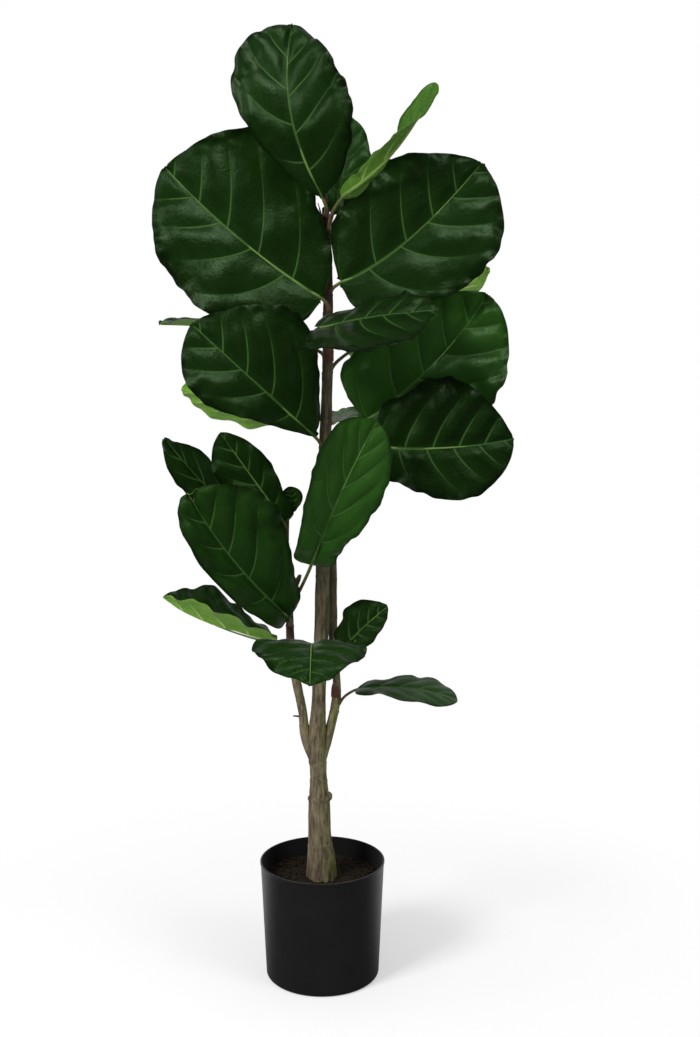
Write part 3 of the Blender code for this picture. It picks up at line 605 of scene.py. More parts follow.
def rib_travel(leaf):
    """Shares of the midrib's curve, and the distance along it that each has reached."""
    share = np.linspace(0, 1, RIB_STEPS)
    rib, _ = rib_curve(leaf, share)
    return share, np.concatenate(([0], np.cumsum(np.linalg.norm(np.diff(rib, axis=0), axis=1))))


def blade_frame(leaf, share):
    """Points on the midrib, the way ahead, the way the upper side looks and the way to the right.

    The blade looks towards `face` halfway along, and turns about the midrib by `twist` over its length.
    """
    points, ahead = rib_curve(leaf, share)
    face = np.array(leaf["face"])
    upward = unit(face - ahead * (ahead @ face)[..., None])
    right = np.cross(ahead, upward)
    turn = (math.radians(leaf["twist"]) * (share - 0.5))[..., None]
    return (points, ahead, upward * np.cos(turn) + right * np.sin(turn),
            right * np.cos(turn) - upward * np.sin(turn))


def flat_blade(leaf, length, along, across):
    """The blade laid flat: sideways and lengthways place of each grid point, in metres.

    The half width is a raised sine with its peak at `broad`, plus two lobes beside the stalk. Each
    row of points sweeps forward from the midrib, as the side veins do, and back at the lobes.
    """
    peak = math.log(0.5) / math.log(leaf["broad"])
    lobes = leaf["lobe"] * np.exp(-((along - LOBE_PLACE) / LOBE_SPREAD) ** 2)
    half_width = np.sin(np.pi * along ** peak).clip(0) ** leaf["full"] + lobes
    half_width = np.maximum(half_width * np.clip(along / BASE_LENGTH, 0, 1), NARROWEST)
    reach = np.where(across < 0, *leaf["reach"])
    forward = reach * np.sin(np.pi * along ** leaf["sweep"]) - LOBE_BACK * lobes
    weights = np.stack([(1 - along) ** 2, 2 * along * (1 - along), along ** 2], axis=-1)
    side = np.where(across < 0, weights @ leaf["left"], weights @ leaf["right"])
    sideways = across * half_width * side * leaf["width"] / 2
    lengthways = length * (along + forward * np.abs(across) ** REACH_GROWTH)
    return sideways, lengthways


def vein_number(leaf, length, sideways, lengthways):
    """Side vein number at each point, whole on a vein, and the metres between two veins there.

    A side vein that leaves the rib at s passes through s + out * (lean + turn * s) + arch * out^2,
    in blade lengths, where out is the distance from the rib in half widths. Solved for s, the
    number is pairs * (s + crowding * s^2), and its gradient gives the spacing.
    """
    half = leaf["width"] / 2
    out = np.abs(sideways) / half
    run = lengthways / length
    grow = 1 + VEIN_TURN * out
    start = (run - VEIN_LEAN * out - VEIN_ARCH * out ** 2) / grow
    number = leaf["pairs"] * (start + VEIN_CROWDING * start ** 2)
    rate = leaf["pairs"] * (1 + 2 * VEIN_CROWDING * start)
    lengthways_rate = rate / grow / length
    sideways_rate = rate * (VEIN_LEAN + 2 * VEIN_ARCH * out + VEIN_TURN * start) / grow / half
    return number, 1 / np.hypot(lengthways_rate, sideways_rate)


def across_steps(half_width, cell):
    """Places from -1 to 1 across the blade: close at the midrib and the margin, even between."""
    near = np.array(BESIDE_RIB) / half_width
    rim = 1 - np.array(BESIDE_MARGIN) / half_width
    middle = np.linspace(near[-1], rim[0], max(int(half_width / cell), 6))[1:-1]
    right = np.concatenate([near, middle, rim])
    return np.concatenate([-right[:0:-1], right])


def folded(leaf, sideways):
    """How far out and how far up the fold and the cup carry a point of a half blade.

    Each half leaves the midrib at the fold angle and turns further by the cup angle up to its
    margin, so its section is an arc of the angle fold + bend * distance.
    """
    left_cup, right_cup = (math.radians(angle) + 1e-6 for angle in leaf["cup"])
    bend = np.where(sideways < 0, left_cup, right_cup) / (leaf["width"] / 2)
    fold = math.radians(leaf["fold"])
    angle = fold + bend * np.abs(sideways)
    return (np.sin(angle) - math.sin(fold)) / bend, (math.cos(fold) - np.cos(angle)) / bend


def blade_relief(leaf, length, edge, flat, ends, seed):
    """Heights of a blade's margin waves, its broad hollows and its small ripples, to be added up.

    The waves are a sine along the blade, and the rest is noise. Waves and ripples grow from the
    midrib to the margin, and waves and hollows fade at both ends.
    """
    sideways, lengthways = flat[..., 0], flat[..., 1]
    side_phase = np.where(sideways < 0, 0.0, SIDE_PHASE)
    wave = np.sin(2 * np.pi * leaf["waves"] * lengthways / length + leaf["phase"] + side_phase)
    ripple = noise(flat, RIPPLE_GRAINS[0], seed) + 0.6 * noise(flat, RIPPLE_GRAINS[1], seed + 1)
    return (leaf["wave"] * edge ** WAVE_GROWTH * wave * ends,
            leaf["buckle"] * noise(flat, HOLLOW_GRAIN, seed + 4) * ends,
            leaf["ripple"] * edge ** 3 * ripple * RIPPLE_GAIN)


def puffed_fields(leaf, edge, flat, number, spacing, seed):
    """How far the fields between the side veins stand out along the blade's normal.

    A field is the rounded sine of the vein number. It is lower where the veins are close, beside
    the midrib and towards the margin, and noise makes the fields uneven.
    """
    offset = np.where(flat[..., 0] < 0, 0.0, VEIN_OFFSET)
    between = np.abs(np.sin(np.pi * (number + offset))) ** 0.8
    close = np.minimum(spacing / FIELD_WIDTH, 1)
    lift = ramp(edge, 0.0, 0.25) * (1 - 0.75 * ramp(edge, 0.55, 1.0))
    uneven = 1 + 0.35 * noise(flat, FIELD_GRAIN, seed + 2)
    return leaf["puff"] * close * between * lift * uneven


def blade_surface(leaf, seed, cell):
    """The middle surface of the blade and what is known at each of its points.

    The flat blade, with its margin nibbled a little, is laid along the midrib and folded. The
    relief lifts it along the upward way, and the puffed fields and the skin along its normal.
    """
    steps, travel = rib_travel(leaf)
    length = travel[-1]
    even = np.linspace(0, 1, max(int(length / cell), 24))
    along = 0.45 * even + 0.55 * (0.5 - 0.5 * np.cos(np.pi * even))
    along, across = np.meshgrid(along, across_steps(leaf["width"] / 2, cell), indexing="ij")
    edge = np.abs(across)
    sideways, lengthways = flat_blade(leaf, length, along, across)
    place = np.stack([across * NIBBLE_GRAIN, lengthways, np.zeros_like(edge)], axis=-1)
    nibble = noise(place, NIBBLE_GRAIN, seed + 6)
    sideways = sideways * (1 + leaf["ragged"] * nibble * edge ** 3)
    flat = np.stack([sideways, lengthways, np.zeros_like(edge)], axis=-1)

    points, ahead, upward, right = blade_frame(leaf, np.interp(lengthways, travel, steps))
    overrun = lengthways - np.clip(lengthways, 0, length)
    run = np.clip(lengthways / length, 0, 1)
    ends = np.sqrt(np.sin(np.pi * run).clip(0))
    out, rise = folded(leaf, sideways)
    rise = sum(blade_relief(leaf, length, edge, flat, ends, seed), start=rise)
    surface = (points + ahead * overrun[..., None] + right * (np.sign(sideways) * out)[..., None]
               + upward * rise[..., None])

    number, spacing = vein_number(leaf, length, sideways, lengthways)
    normal = normals(surface)
    surface = surface + normal * puffed_fields(leaf, edge, flat, number, spacing, seed)[..., None]
    skin = SKIN_HEIGHT * noise(flat, SKIN_GRAIN, seed + 3) * ends
    return dict(points=surface + normal * skin[..., None], normal=normal, edge=edge, run=run,
                sideways=sideways, lengthways=lengthways, number=number, spacing=spacing)


def add_sheet(surface, grid, slot, leaf, blade, tone, flipped=False):
    """One side of a blade, in two halves that each number their own side veins."""
    flat = np.stack([blade["sideways"], blade["lengthways"], blade["edge"]], axis=-1)
    middle = grid.shape[1] // 2
    halves = ((slice(0, middle + 1), 0.0, -0.5), (slice(middle, None), VEIN_OFFSET, 0.5))
    for half, offset, lowest in halves:
        highest = math.floor(leaf["pairs"] + lowest) + 0.5
        number = np.clip(blade["number"][:, half] + offset, lowest, highest)
        vein = np.stack([blade["sideways"][:, half], number, blade["spacing"][:, half]], axis=-1)
        surface.add(grid[:, half], slot, flipped=flipped, vein=vein, blade=flat[:, half], tone=tone,
                    run=blade["run"][:, half])


def leaf_mesh(name, leaf, seed, settings):
    """One leaf as a closed sheet with its stalk and midrib.

    The sheet is the middle surface moved out along its normal by half a thickness that is nought at
    the margin. The upper side has a groove over the midrib; the midrib itself is the stalk's tube,
    carried on along the rib under the blade and thinning to the tip.
    """
    blade = blade_surface(leaf, seed, settings.cell)
    points, normal = blade["points"], blade["normal"]
    rim = np.sqrt(np.clip(1 - blade["edge"] ** MARGIN_ROUNDING, 0, 1))
    rim[[0, -1]] = 0
    half = settings.thickness / 2 * rim
    depth, width = GROOVE
    groove = depth * np.exp(-(blade["sideways"] / width) ** 2) * (1 - blade["run"]) * rim
    surface = Surface()
    add_sheet(surface, points + normal * (half - groove)[..., None], 0, leaf, blade, leaf["tone"])
    # The underside's tone attribute carries pale, the painted light and shade on it.
    add_sheet(surface, points - normal * half[..., None], 1, leaf, blade, leaf["pale"], flipped=True)
    add_stalk(surface, leaf, seed)
    return surface.mesh(name)


def last_inside(points, neck):
    """Number of the last point before the neck that is still inside a stem."""
    stems = np.concatenate([smooth_path(stem["path"], 2 * SUNK) for stem in STEMS])
    apart = np.linalg.norm(points[:, None] - stems[None, :, :3], axis=-1) - stems[None, :, 3]
    before = np.arange(len(points)) < np.argmin(np.linalg.norm(points - neck, axis=-1))
    inside = np.flatnonzero((apart.min(axis=1) < -SUNK) & before)
    return inside.max() if len(inside) else 0


def add_stalk(surface, leaf, seed):
    """Ring carried from the foot on the stem, through the neck and along the midrib to the tip."""
    radius = leaf["stalk"]
    share = np.linspace(0, 1, MIDRIB_POINTS)
    rib, ahead, upward, right = blade_frame(leaf, share)
    foot, neck = np.array(leaf["foot"]), rib[0]
    bow = neck - ahead[0] * STALK_BOW * np.linalg.norm(neck - foot)
    halfway = (foot + 2 * bow + neck) / 4
    ridge = radius * (MIDRIB_RADIUS[0] - MIDRIB_RADIUS[1] * share ** 0.6)
    under = rib - upward * (MIDRIB_DEPTH[0] * ridge + MIDRIB_DEPTH[1])[:, None]
    under[0] = neck
    start = [[*foot, radius * STALK_FOOT], [*halfway, radius]]
    path = smooth_path(np.concatenate([start, np.column_stack([under, ridge])]), STALK_STEP)
    path = path[last_inside(path[:, :3], neck):]
    travel = np.linalg.norm(path[:, :3] - path[0, :3], axis=1)
    swell = 1 + STALK_SWELL[0] * np.exp(-(travel / STALK_SWELL[1]) ** 2)
    swell = swell * (1 + 0.05 * noise(path[:, :3], 0.006, seed + 5))
    rings = np.repeat((path[:, 3] * swell)[:, None], STALK_SIDES, axis=1)
    rings[[0, -1]] = 0
    grid = carried_ring(path[:, :3], rings, right[len(right) // 2])
    run = travel / np.linalg.norm(neck - path[0, :3])
    surface.add(grid, slot=2, closed=True, vein=(0, 0, 0), blade=(0, 0, 0), tone=leaf["tone"],
                run=run[:, None])


# ---------------------------------------------------------------- trunk


def add_stem(surface, stem):
    """One stem: a ring carried up the stem's curve, its radius broken by flutes, scars and bark.

    Flutes are folded sines round the stem that fade out above the root flare. A scar is a raised
    ring with a small groove above it, tilted and uneven. Bark is noise drawn out along the stem.
    """
    seed = stem["seed"]
    path = smooth_path(stem["path"], STEM_STEP)
    centre, radius, height = path[:, :3], path[:, 3:4], path[:, 2:3]
    angle = circle(stem["sides"])[None, :]
    young = ramp(height, *stem["young"])
    around = np.stack(np.broadcast_arrays(radius * np.cos(angle), radius * np.sin(angle),
                                          height * BARK_STRETCH), axis=-1)
    (coarse, coarse_grain), (fine, fine_grain) = BARK
    relief = coarse * noise(around, coarse_grain, seed)
    relief = relief + fine * noise(around * (1, 1, 1.6), fine_grain, seed + 1)
    relief = relief * (1 - 0.65 * young)
    for count, depth, top in stem["flutes"]:
        warp = 0.8 * noise(around * (0.5, 0.5, 1.0), 0.006, seed + 2)
        fold = np.abs(np.sin(count / 2 * angle + warp))
        relief = relief + depth * (fold - 0.6) * ramp(-height, -top, -top + 0.05)
    for place, tall, wide, tilt, turn in stem["scars"]:
        distance = height - place - tilt * np.cos(angle - turn)
        uneven = 0.75 + 0.5 * noise(np.broadcast_to(around[:1], around.shape) + place, 0.008, seed + 3)
        relief = relief + tall * uneven * np.exp(-(distance / wide) ** 2)
        relief = relief - 0.45 * tall * np.exp(-((distance - 1.8 * wide) / (0.8 * wide)) ** 2)
    rings = radius + relief
    rings[[0, -1]] = 0
    rings[-2] *= 0.72
    right_side = ramp(np.cos(angle), -0.2, 0.9) * (1 - ramp(height, 0.34, 0.60))
    green = np.clip(right_side + stem["green"] * (1 - ramp(height, 0.36, 0.42)), 0, 1)
    grid = carried_ring(centre, rings, (1.0, 0.0, 0.0))
    surface.add(grid, closed=True, young=young, green=green)


def add_knot(surface):
    """A rounded swelling: a ball whose radius is broken by bark noise, half sunk in the stem."""
    way = ball(30, 44, KNOT["flatness"])
    radius = KNOT["radius"] * (1 + 0.06 * noise(way, 0.35, 81))
    grid = np.array(KNOT["centre"]) + way * radius[..., None]
    surface.add(grid, closed=True, flipped=True, young=0.0, green=0.5)


def add_twig(surface):
    """A dead twig: a thin ring carried along a slight bow, its radius broken by noise."""
    start, end, radius = np.array(TWIG["start"]), np.array(TWIG["end"]), TWIG["radius"]
    bow = (start + end) / 2 + (0, 0, 0.0006)
    path = smooth_path([[*start, radius * 1.5], [*bow, radius], [*end, radius * 0.8]], 0.0008)
    rough = path[:, 3] * (1 + 0.15 * noise(path[:, :3], 0.002, 71))
    rings = np.repeat(rough[:, None], TWIG["sides"], axis=1)
    rings[[0, -1]] = 0
    grid = carried_ring(path[:, :3], rings, (0.0, 1.0, 0.0))
    surface.add(grid, closed=True, young=0.6, green=0.0)


def trunk_mesh(name):
    """Three stems grown together, a knot on the centre one and a dead twig."""
    surface = Surface()
    for stem in STEMS:
        add_stem(surface, stem)
    add_knot(surface)
    add_twig(surface)
    return surface.mesh(name)


# ---------------------------------------------------------------- bracts, bud, soil, pot


def bract_mesh(name, bract, seed, thickness):
    """A papery flake: part of a ring that narrows and leans out as it rises, crumpled a little."""
    rows, columns = BRACT_GRID
    up, around = np.meshgrid(np.linspace(0, 1, rows), np.linspace(-1, 1, columns), indexing="ij")
    half_sweep = math.radians(BRACT_SWEEP / 2) * (1 - BRACT_NARROWING * up ** 1.6)
    angle = math.radians(bract["turn"] - 90) + around * half_sweep
    flat = np.stack([around * bract["radius"], up * bract["height"] * 0.5, np.zeros_like(up)], axis=-1)
    crumple = noise(flat, 0.0022, seed) * 0.0004 * ramp(up, 0.1, 0.5)
    radius = bract["radius"] + BRACT_CLEARANCE + bract["lean"] * up ** 2 + crumple
    x, y, z = bract["foot"]
    torn = 1 - 0.06 * np.abs(noise(flat * [1, 0, 1], 0.0016, seed + 1))
    points = np.stack([x + radius * np.cos(angle), y + radius * np.sin(angle),
                       z + bract["height"] * up * torn], axis=-1)
    border = np.clip((1 - np.abs(around)) * 12, 0, 1) * np.clip(np.minimum(up, 1 - up) * 30, 0, 1)
    half = normals(points) * (thickness / 2 * np.sqrt(border))[..., None]
    blade = np.stack([around * half_sweep * bract["radius"], up * bract["height"], np.abs(around)],
                     axis=-1)
    surface = Surface()
    surface.add(points + half, blade=blade, run=up)
    surface.add(points - half, flipped=True, blade=blade, run=up)
    return surface.mesh(name)


def bud_mesh(name):
    """A slender bud: a raised sine profile with a spiral crease, leaned about its foot."""
    share = np.linspace(0, 1, BUD_ROWS)[:, None]
    crease = 1 - 0.10 * np.exp(-(np.sin(circle(BUD_SIDES) / 2 + 2.2 * share) / 0.18) ** 2)
    rings = BUD["radius"] * np.sin(np.pi * share ** BUD["fullness"]) * crease
    rings[[0, -1]] = 0
    lean = math.radians(-BUD["lean"])
    path = np.array(BUD["foot"]) + share * BUD["height"] * (math.sin(lean), 0.0, math.cos(lean))
    grid = carried_ring(path, rings, (1.0, 0.0, 0.0))
    blade = np.stack([grid[..., 0], grid[..., 2], np.zeros(grid.shape[:2])], axis=-1)
    surface = Surface()
    surface.add(grid, closed=True, blade=blade, run=share)
    return surface.mesh(name)


def soil_mesh(name, clods):
    """A plug that fills the pot, its top raised into crumbs by three sizes of noise, with clods."""
    top, low, edge = SOIL_HIGH[2], SOIL_LOW[2], SOIL_HIGH[0]
    narrowing = (top - low) * (POT_HIGH[0] - POT_FOOT_RADIUS) / (POT_HIGH[2] - POT_CORNER)
    radius = np.concatenate([np.linspace(0, edge, SOIL_ROWS), [edge - narrowing - POT_CORNER, 0]])
    fall = SOIL_FALL * np.linspace(0, 1, SOIL_ROWS) ** 2
    height = np.concatenate([top - fall, [low, low]])
    grid = turned_profile(radius, height, SOIL_SIDES)
    crumbs = sum(tall * np.abs(noise(grid, grain, 91 + number))
                 for number, (tall, grain) in enumerate(CRUMBS))
    crumbs = crumbs + GRIT[0] * noise(grid, GRIT[1], 93)
    grid[:SOIL_ROWS - 1, :, 2] += crumbs[:SOIL_ROWS - 1] - CRUMB_DEPTH
    surface = Surface()
    surface.add(grid, closed=True, flipped=True)
    add_clods(surface, clods, top - CLOD_DEPTH, edge * CLOD_REACH)
    return surface.mesh(name)


def add_clods(surface, count, height, reach):
    """Small rough balls scattered over the soil, each a noise-broken ball of its own size."""
    random = np.random.default_rng(7)
    smallest, extra = CLOD_SIZE
    way = ball(6, 8, 0.7)
    for index in range(count):
        away = reach * math.sqrt(random.uniform(0.06, 1))
        angle = random.uniform(0, 2 * math.pi)
        size = smallest + extra * random.uniform() ** 2.5
        stretch = random.uniform(0.7, 1.4, 3)
        rough = 1 + 0.4 * noise(way + index, 0.7, 95)
        centre = (away * math.cos(angle), away * math.sin(angle), height)
        surface.add(centre + way * stretch * (size * rough)[..., None], closed=True, flipped=True)


def pot_mesh(name, sides):
    """The pot's profile turned about Z: up the inside, over the rim and the lip, down to the foot."""
    rim, tall = POT_HIGH[0], POT_HIGH[2]
    foot, corner, lip_base = POT_FOOT_RADIUS, POT_CORNER, tall - POT_LIP
    inner_foot, inner_rim = foot - POT_WALL, rim - POT_WALL
    under_lip = foot + (lip_base - corner) / (tall - corner) * (rim - foot) - POT_LIP_STEP
    down = np.linspace(0, 1, POT_WALL_ROWS)[:, None]
    wall = (1 - down) * [under_lip, lip_base - POT_LIP_SLOPE] + down * [foot, corner + 0.0005]
    profile = np.concatenate([
        [[0.0, POT_FLOOR], [POT_FLAT, POT_FLOOR]],
        arc((inner_foot - corner, POT_FLOOR + corner), corner, -90, 0, 8),
        [[inner_foot, POT_FLOOR + corner], [inner_rim - POT_INNER_TOP[0], tall - POT_INNER_TOP[1]]],
        arc((inner_rim + POT_EDGE, tall - POT_EDGE), POT_EDGE, 180, 90, 5),
        arc((rim - POT_EDGE, tall - POT_EDGE), POT_EDGE, 90, 0, 6),
        [[rim, tall - POT_LIP * 0.6], [rim - POT_LIP_ROUNDING, lip_base],
         [under_lip + POT_LIP_ROUNDING, lip_base - POT_LIP_SLOPE / 2]],
        wall,
        arc((foot - corner, corner), corner, 0, -90, 12),
        [[POT_FLAT, 0.0], [0.0, 0.0]],
    ])
    surface = Surface()
    surface.add(turned_profile(profile[:, 0], profile[:, 1], sides), closed=True)
    return surface.mesh(name)


# ---------------------------------------------------------------- finishes


class Nodes:
    """Short hand for building one node tree."""

    def __init__(self, tree):
        self.tree = tree

    def add(self, kind, inputs=None, **settings):
        node = self.tree.nodes.new(kind)
        for name, value in settings.items():
            setattr(node, name, value)
        for socket, value in (inputs or {}).items():
            self.put(node.inputs[socket], value)
        return node

    def put(self, socket, value):
        """Link a socket to another, or set its plain value; a colour gets full alpha."""
        if isinstance(value, bpy.types.NodeSocket):
            self.tree.links.new(value, socket)
        elif socket.type == "RGBA":
            socket.default_value = (*value, 1.0)
        else:
            socket.default_value = value

    def math(self, operation, first, second=0.0, clamp=False):
        node = self.add("ShaderNodeMath", {0: first, 1: second}, operation=operation, use_clamp=clamp)
        return node.outputs[0]

    def plus(self, first, second):
        return self.math("ADD", first, second)

    def minus(self, first, second):
        return self.math("SUBTRACT", first, second)

    def times(self, first, second):
        return self.math("MULTIPLY", first, second)

    def over(self, first, second):
        return self.math("DIVIDE", first, second)

    def vector(self, operation, inputs):
        return self.add("ShaderNodeVectorMath", inputs, operation=operation).outputs

    def mix(self, share, first, second):
        """The first colour at share 0 and the second at share 1."""
        node = self.add("ShaderNodeMix", data_type="RGBA")
        self.put(node.inputs["Factor"], share)
        for name, value in (("A", first), ("B", second)):
            self.put([s for s in node.inputs if s.name == name and s.type == "RGBA"][0], value)
        return [s for s in node.outputs if s.type == "RGBA"][0]

    def remap(self, value, low, high, out_low=0.0, out_high=1.0):
        """Smooth S from out_low at low to out_high at high."""
        node = self.add("ShaderNodeMapRange", {"Value": value, "From Min": low, "From Max": high,
                                               "To Min": out_low, "To Max": out_high},
                        interpolation_type="SMOOTHSTEP")
        return node.outputs["Result"]

    def where(self):
        """The place on the object."""
        return self.add("ShaderNodeTexCoord").outputs["Object"]

    def part(self, vector, axis):
        return self.add("ShaderNodeSeparateXYZ", {0: vector}).outputs[axis]

    def attribute(self, name, kind="Fac"):
        return self.add("ShaderNodeAttribute", attribute_name=name).outputs[kind]

    def noise(self, vector, scale, detail=3.0, roughness=0.5):
        node = self.add("ShaderNodeTexNoise", {"Vector": vector, "Scale": scale, "Detail": detail,
                                               "Roughness": roughness})
        return node.outputs["Fac"]

    def stretched(self, vector, scale):
        return self.add("ShaderNodeMapping", {"Vector": vector, "Scale": scale}).outputs["Vector"]

    def group(self, name, **inputs):
        node = self.add("ShaderNodeGroup", node_tree=bpy.data.node_groups[name])
        for label, value in inputs.items():
            self.put(node.inputs[label.replace("_", " ")], value)
        return node.outputs

    def mottle(self, vector, size, contrast=1.0):
        """Uneven patches of the given size, from 0 to 1."""
        return self.group("Mottle", Vector=vector, Size=size, Contrast=contrast)["Mask"]


def new_group(name, inputs, outputs):
    """An empty shader group. An input is a number with a default, or a vector where that is None."""
    tree = bpy.data.node_groups.new(name, "ShaderNodeTree")
    for label, default in inputs.items():
        kind = "NodeSocketVector" if default is None else "NodeSocketFloat"
        socket = tree.interface.new_socket(label, in_out="INPUT", socket_type=kind)
        if default is not None:
            socket.default_value = default
    for label in outputs:
        tree.interface.new_socket(label, in_out="OUTPUT", socket_type="NodeSocketFloat")
    n = Nodes(tree)
    return n, n.add("NodeGroupInput").outputs, n.add("NodeGroupOutput").inputs


def vein_group():
    """Masks for the midrib, side veins and fine net of a leaf, the glow beside the veins, and the rim
    along the margin, which the upper side darkens as painted shade.

    A side vein is where the vein number is whole, and the distance from it is the rest of that
    number times the spacing. The net is the edges of two sizes of cells, bent by noise.
    """
    n, given, out = new_group(
        "Leaf Veins",
        {"Vein": None, "Blade": None, "Run": 0.0, "Midrib Width": 0.0016, "Side Width": 0.0008,
         "Net Cell": 0.006},
        ("Midrib", "Side", "Net", "Glow", "Pillow", "Rim"))
    sideways, number, spacing = n.add("ShaderNodeSeparateXYZ", {0: given["Vein"]}).outputs
    edge = n.part(given["Blade"], "Z")
    wobble = n.times(n.minus(n.noise(given["Blade"], 55.0, 2.0), 0.5), 0.0016)

    to_rib = n.math("ABSOLUTE", n.plus(sideways, n.times(wobble, 0.25)))
    half = n.times(given["Midrib Width"], n.remap(given["Run"], 0.0, 1.0, 0.62, 0.20))
    n.put(out["Midrib"], n.remap(n.over(to_rib, half), 1.25, 0.70))

    past = n.minus(number, n.math("ROUND", number))
    to_side = n.times(n.math("ABSOLUTE", past), spacing)
    to_side = n.math("ABSOLUTE", n.plus(to_side, n.times(wobble, 0.5)))
    half = n.times(given["Side Width"], n.remap(edge, 0.0, 0.95, 0.75, 0.16))
    side = n.remap(n.over(to_side, half), 1.35, 0.60)
    n.put(out["Side"], n.times(side, n.remap(edge, 0.85, 0.30)))
    # Rim: the band along the margin that the upper side darkens as painted shade.
    n.put(out["Rim"], n.remap(edge, 0.80, 1.0))

    shift = n.add("ShaderNodeTexNoise", {"Vector": given["Blade"], "Scale": 120.0, "Detail": 2.0})
    shift = n.vector("SCALE", {0: shift.outputs["Color"], "Scale": 0.0030})[0]
    bent = n.vector("MULTIPLY", {0: given["Blade"], 1: (1.0, 0.8, 0.0)})[0]
    bent = n.vector("ADD", {0: bent, 1: shift})[0]
    scale = n.over(1.0, given["Net Cell"])
    wide, close = (n.add("ShaderNodeTexVoronoi", {"Vector": bent, "Scale": cells},
                         feature="DISTANCE_TO_EDGE", voronoi_dimensions="2D").outputs["Distance"]
                   for cells in (scale, n.times(scale, 2.9)))
    fine = n.times(n.remap(close, 0.12, 0.0), 0.45)
    n.put(out["Net"], n.math("MAXIMUM", n.remap(wide, 0.065, 0.0), fine))
    n.put(out["Pillow"], n.plus(n.remap(wide, 0.0, 0.35), n.times(n.remap(close, 0.0, 0.3), 0.4)))

    past = n.times(past, spacing)
    beside = n.math("MAXIMUM", n.times(past, 0.65), n.times(past, -2.2))
    near = n.math("MINIMUM", beside, n.times(to_rib, 1.3))
    glow = n.math("EXPONENT", n.times(near, -1 / 0.0075))
    n.put(out["Glow"], n.times(glow, n.remap(edge, 1.0, 0.5, 0.3, 1.0)))


def mottle_group():
    """Two sizes of noise as one mask from 0 to 1, for uneven colour and roughness."""
    n, given, out = new_group("Mottle", {"Vector": None, "Size": 0.02, "Contrast": 1.0}, ("Mask",))
    scale = n.over(1.0, given["Size"])
    broad = n.noise(given["Vector"], scale, 2.0)
    small = n.noise(given["Vector"], n.times(scale, 3.7), 4.0, 0.6)
    both = n.plus(n.times(broad, 0.65), n.times(small, 0.35))
    centred = n.times(n.minus(both, 0.5), n.times(given["Contrast"], 2.2))
    n.put(out["Mask"], n.math("ADD", centred, 0.5, clamp=True))


def new_material(name, **values):
    """A material, its nodes and its Principled shader, which has the given constant values."""
    material = bpy.data.materials.new(name)
    material.use_nodes = True
    n = Nodes(material.node_tree)
    shader = material.node_tree.nodes["Principled BSDF"]
    for label, value in values.items():
        n.put(shader.inputs[label.replace("_", " ")], value)
    return material, n, shader


def finish(n, shader, colour, roughness, height, distance):
    """Give the shader its colour, its roughness and the bump of a height over the distance."""
    n.put(shader.inputs["Base Color"], colour)
    n.put(shader.inputs["Roughness"], roughness)
    bump = n.add("ShaderNodeBump", {"Height": height, "Distance": distance, "Strength": 1.0})
    n.put(shader.inputs["Normal"], bump.outputs["Normal"])


def leaf_veins(n, midrib, side):
    """The flat blade's place and its vein masks, for the half widths of midrib and side veins."""
    blade = n.attribute("blade", "Vector")
    return blade, n.group("Leaf Veins", Vein=n.attribute("vein", "Vector"), Blade=blade,
                          Run=n.attribute("run"), Midrib_Width=midrib, Side_Width=side,
                          Net_Cell=0.0062)


def leaf_top_material(settings):
    """Waxy green from deep to fresh by tone, with pale veins sunk a little below the puffed blade and
    the margin darkened towards black as painted shade.
    """
    material, n, shader = new_material("leaf_top", Specular_IOR_Level=0.42,
                                       Specular_Tint=(0.62, 1.0, 0.52))
    blade, veins = leaf_veins(n, 0.0030, 0.0015)
    tone = n.attribute("tone")
    patches = n.mottle(blade, 0.045)
    specks = n.mottle(blade, 0.006, 0.8)
    body = n.mix(tone, settings.deep, settings.fresh)
    body = n.mix(n.times(patches, 0.35), body, n.mix(0.30, body, settings.fresh))
    body = n.mix(n.minus(tone, 1.0), body, settings.young)
    body = n.mix(n.times(specks, 0.20), body, n.mix(0.6, body, BLACK))
    body = n.mix(n.times(veins["Glow"], 0.55), body, n.mix(tone, settings.glow, body))
    # Painted shade: the margin darkens towards black.
    body = n.mix(n.times(veins["Rim"], 0.55), body, BLACK)
    for mask, share in (("Net", 0.06), ("Side", 0.62), ("Midrib", 0.70)):
        body = n.mix(n.times(veins[mask], share), body, settings.vein)
    rough = n.plus(n.remap(patches, 0.0, 1.0, 0.29, 0.37), n.times(veins["Side"], 0.10))
    height = n.times(veins["Pillow"], 0.20)
    height = n.minus(height, n.times(veins["Side"], 0.9))
    height = n.minus(height, n.times(veins["Glow"], 0.5))
    height = n.plus(height, n.times(specks, 0.12))
    finish(n, shader, body, rough, height, 0.0005)
    return material


def leaf_underside_material(settings):
    """Matt yellow green with veins standing proud; the tone attribute carries the leaf's pale value,
    which paints light and shade from the shaded colour to the lit underside.
    """
    material, n, shader = new_material("leaf_underside", Specular_IOR_Level=0.30)
    blade, veins = leaf_veins(n, 0.0040, 0.0024)
    patches = n.mottle(blade, 0.040)
    pale = n.attribute("tone")
    # Painted light and shade: pale picks between the shaded and the lit underside colour, for the body
    # and the veins.
    plain = n.mix(pale, settings.shaded, settings.underside)
    vein = n.mix(pale, n.mix(0.5, settings.shaded, settings.underside), (0.42, 0.55, 0.16))
    body = n.mix(n.times(patches, 0.35), plain, settings.shaded)
    body = n.mix(n.times(veins["Net"], 0.30), body, n.mix(0.4, plain, settings.shaded))
    body = n.mix(n.times(n.math("MAXIMUM", veins["Side"], veins["Midrib"]), 0.75), body, vein)
    height = n.plus(n.plus(veins["Side"], n.times(veins["Net"], 0.35)), veins["Midrib"])
    finish(n, shader, body, n.remap(patches, 0.0, 1.0, 0.55, 0.68), height, 0.0007)
    return material


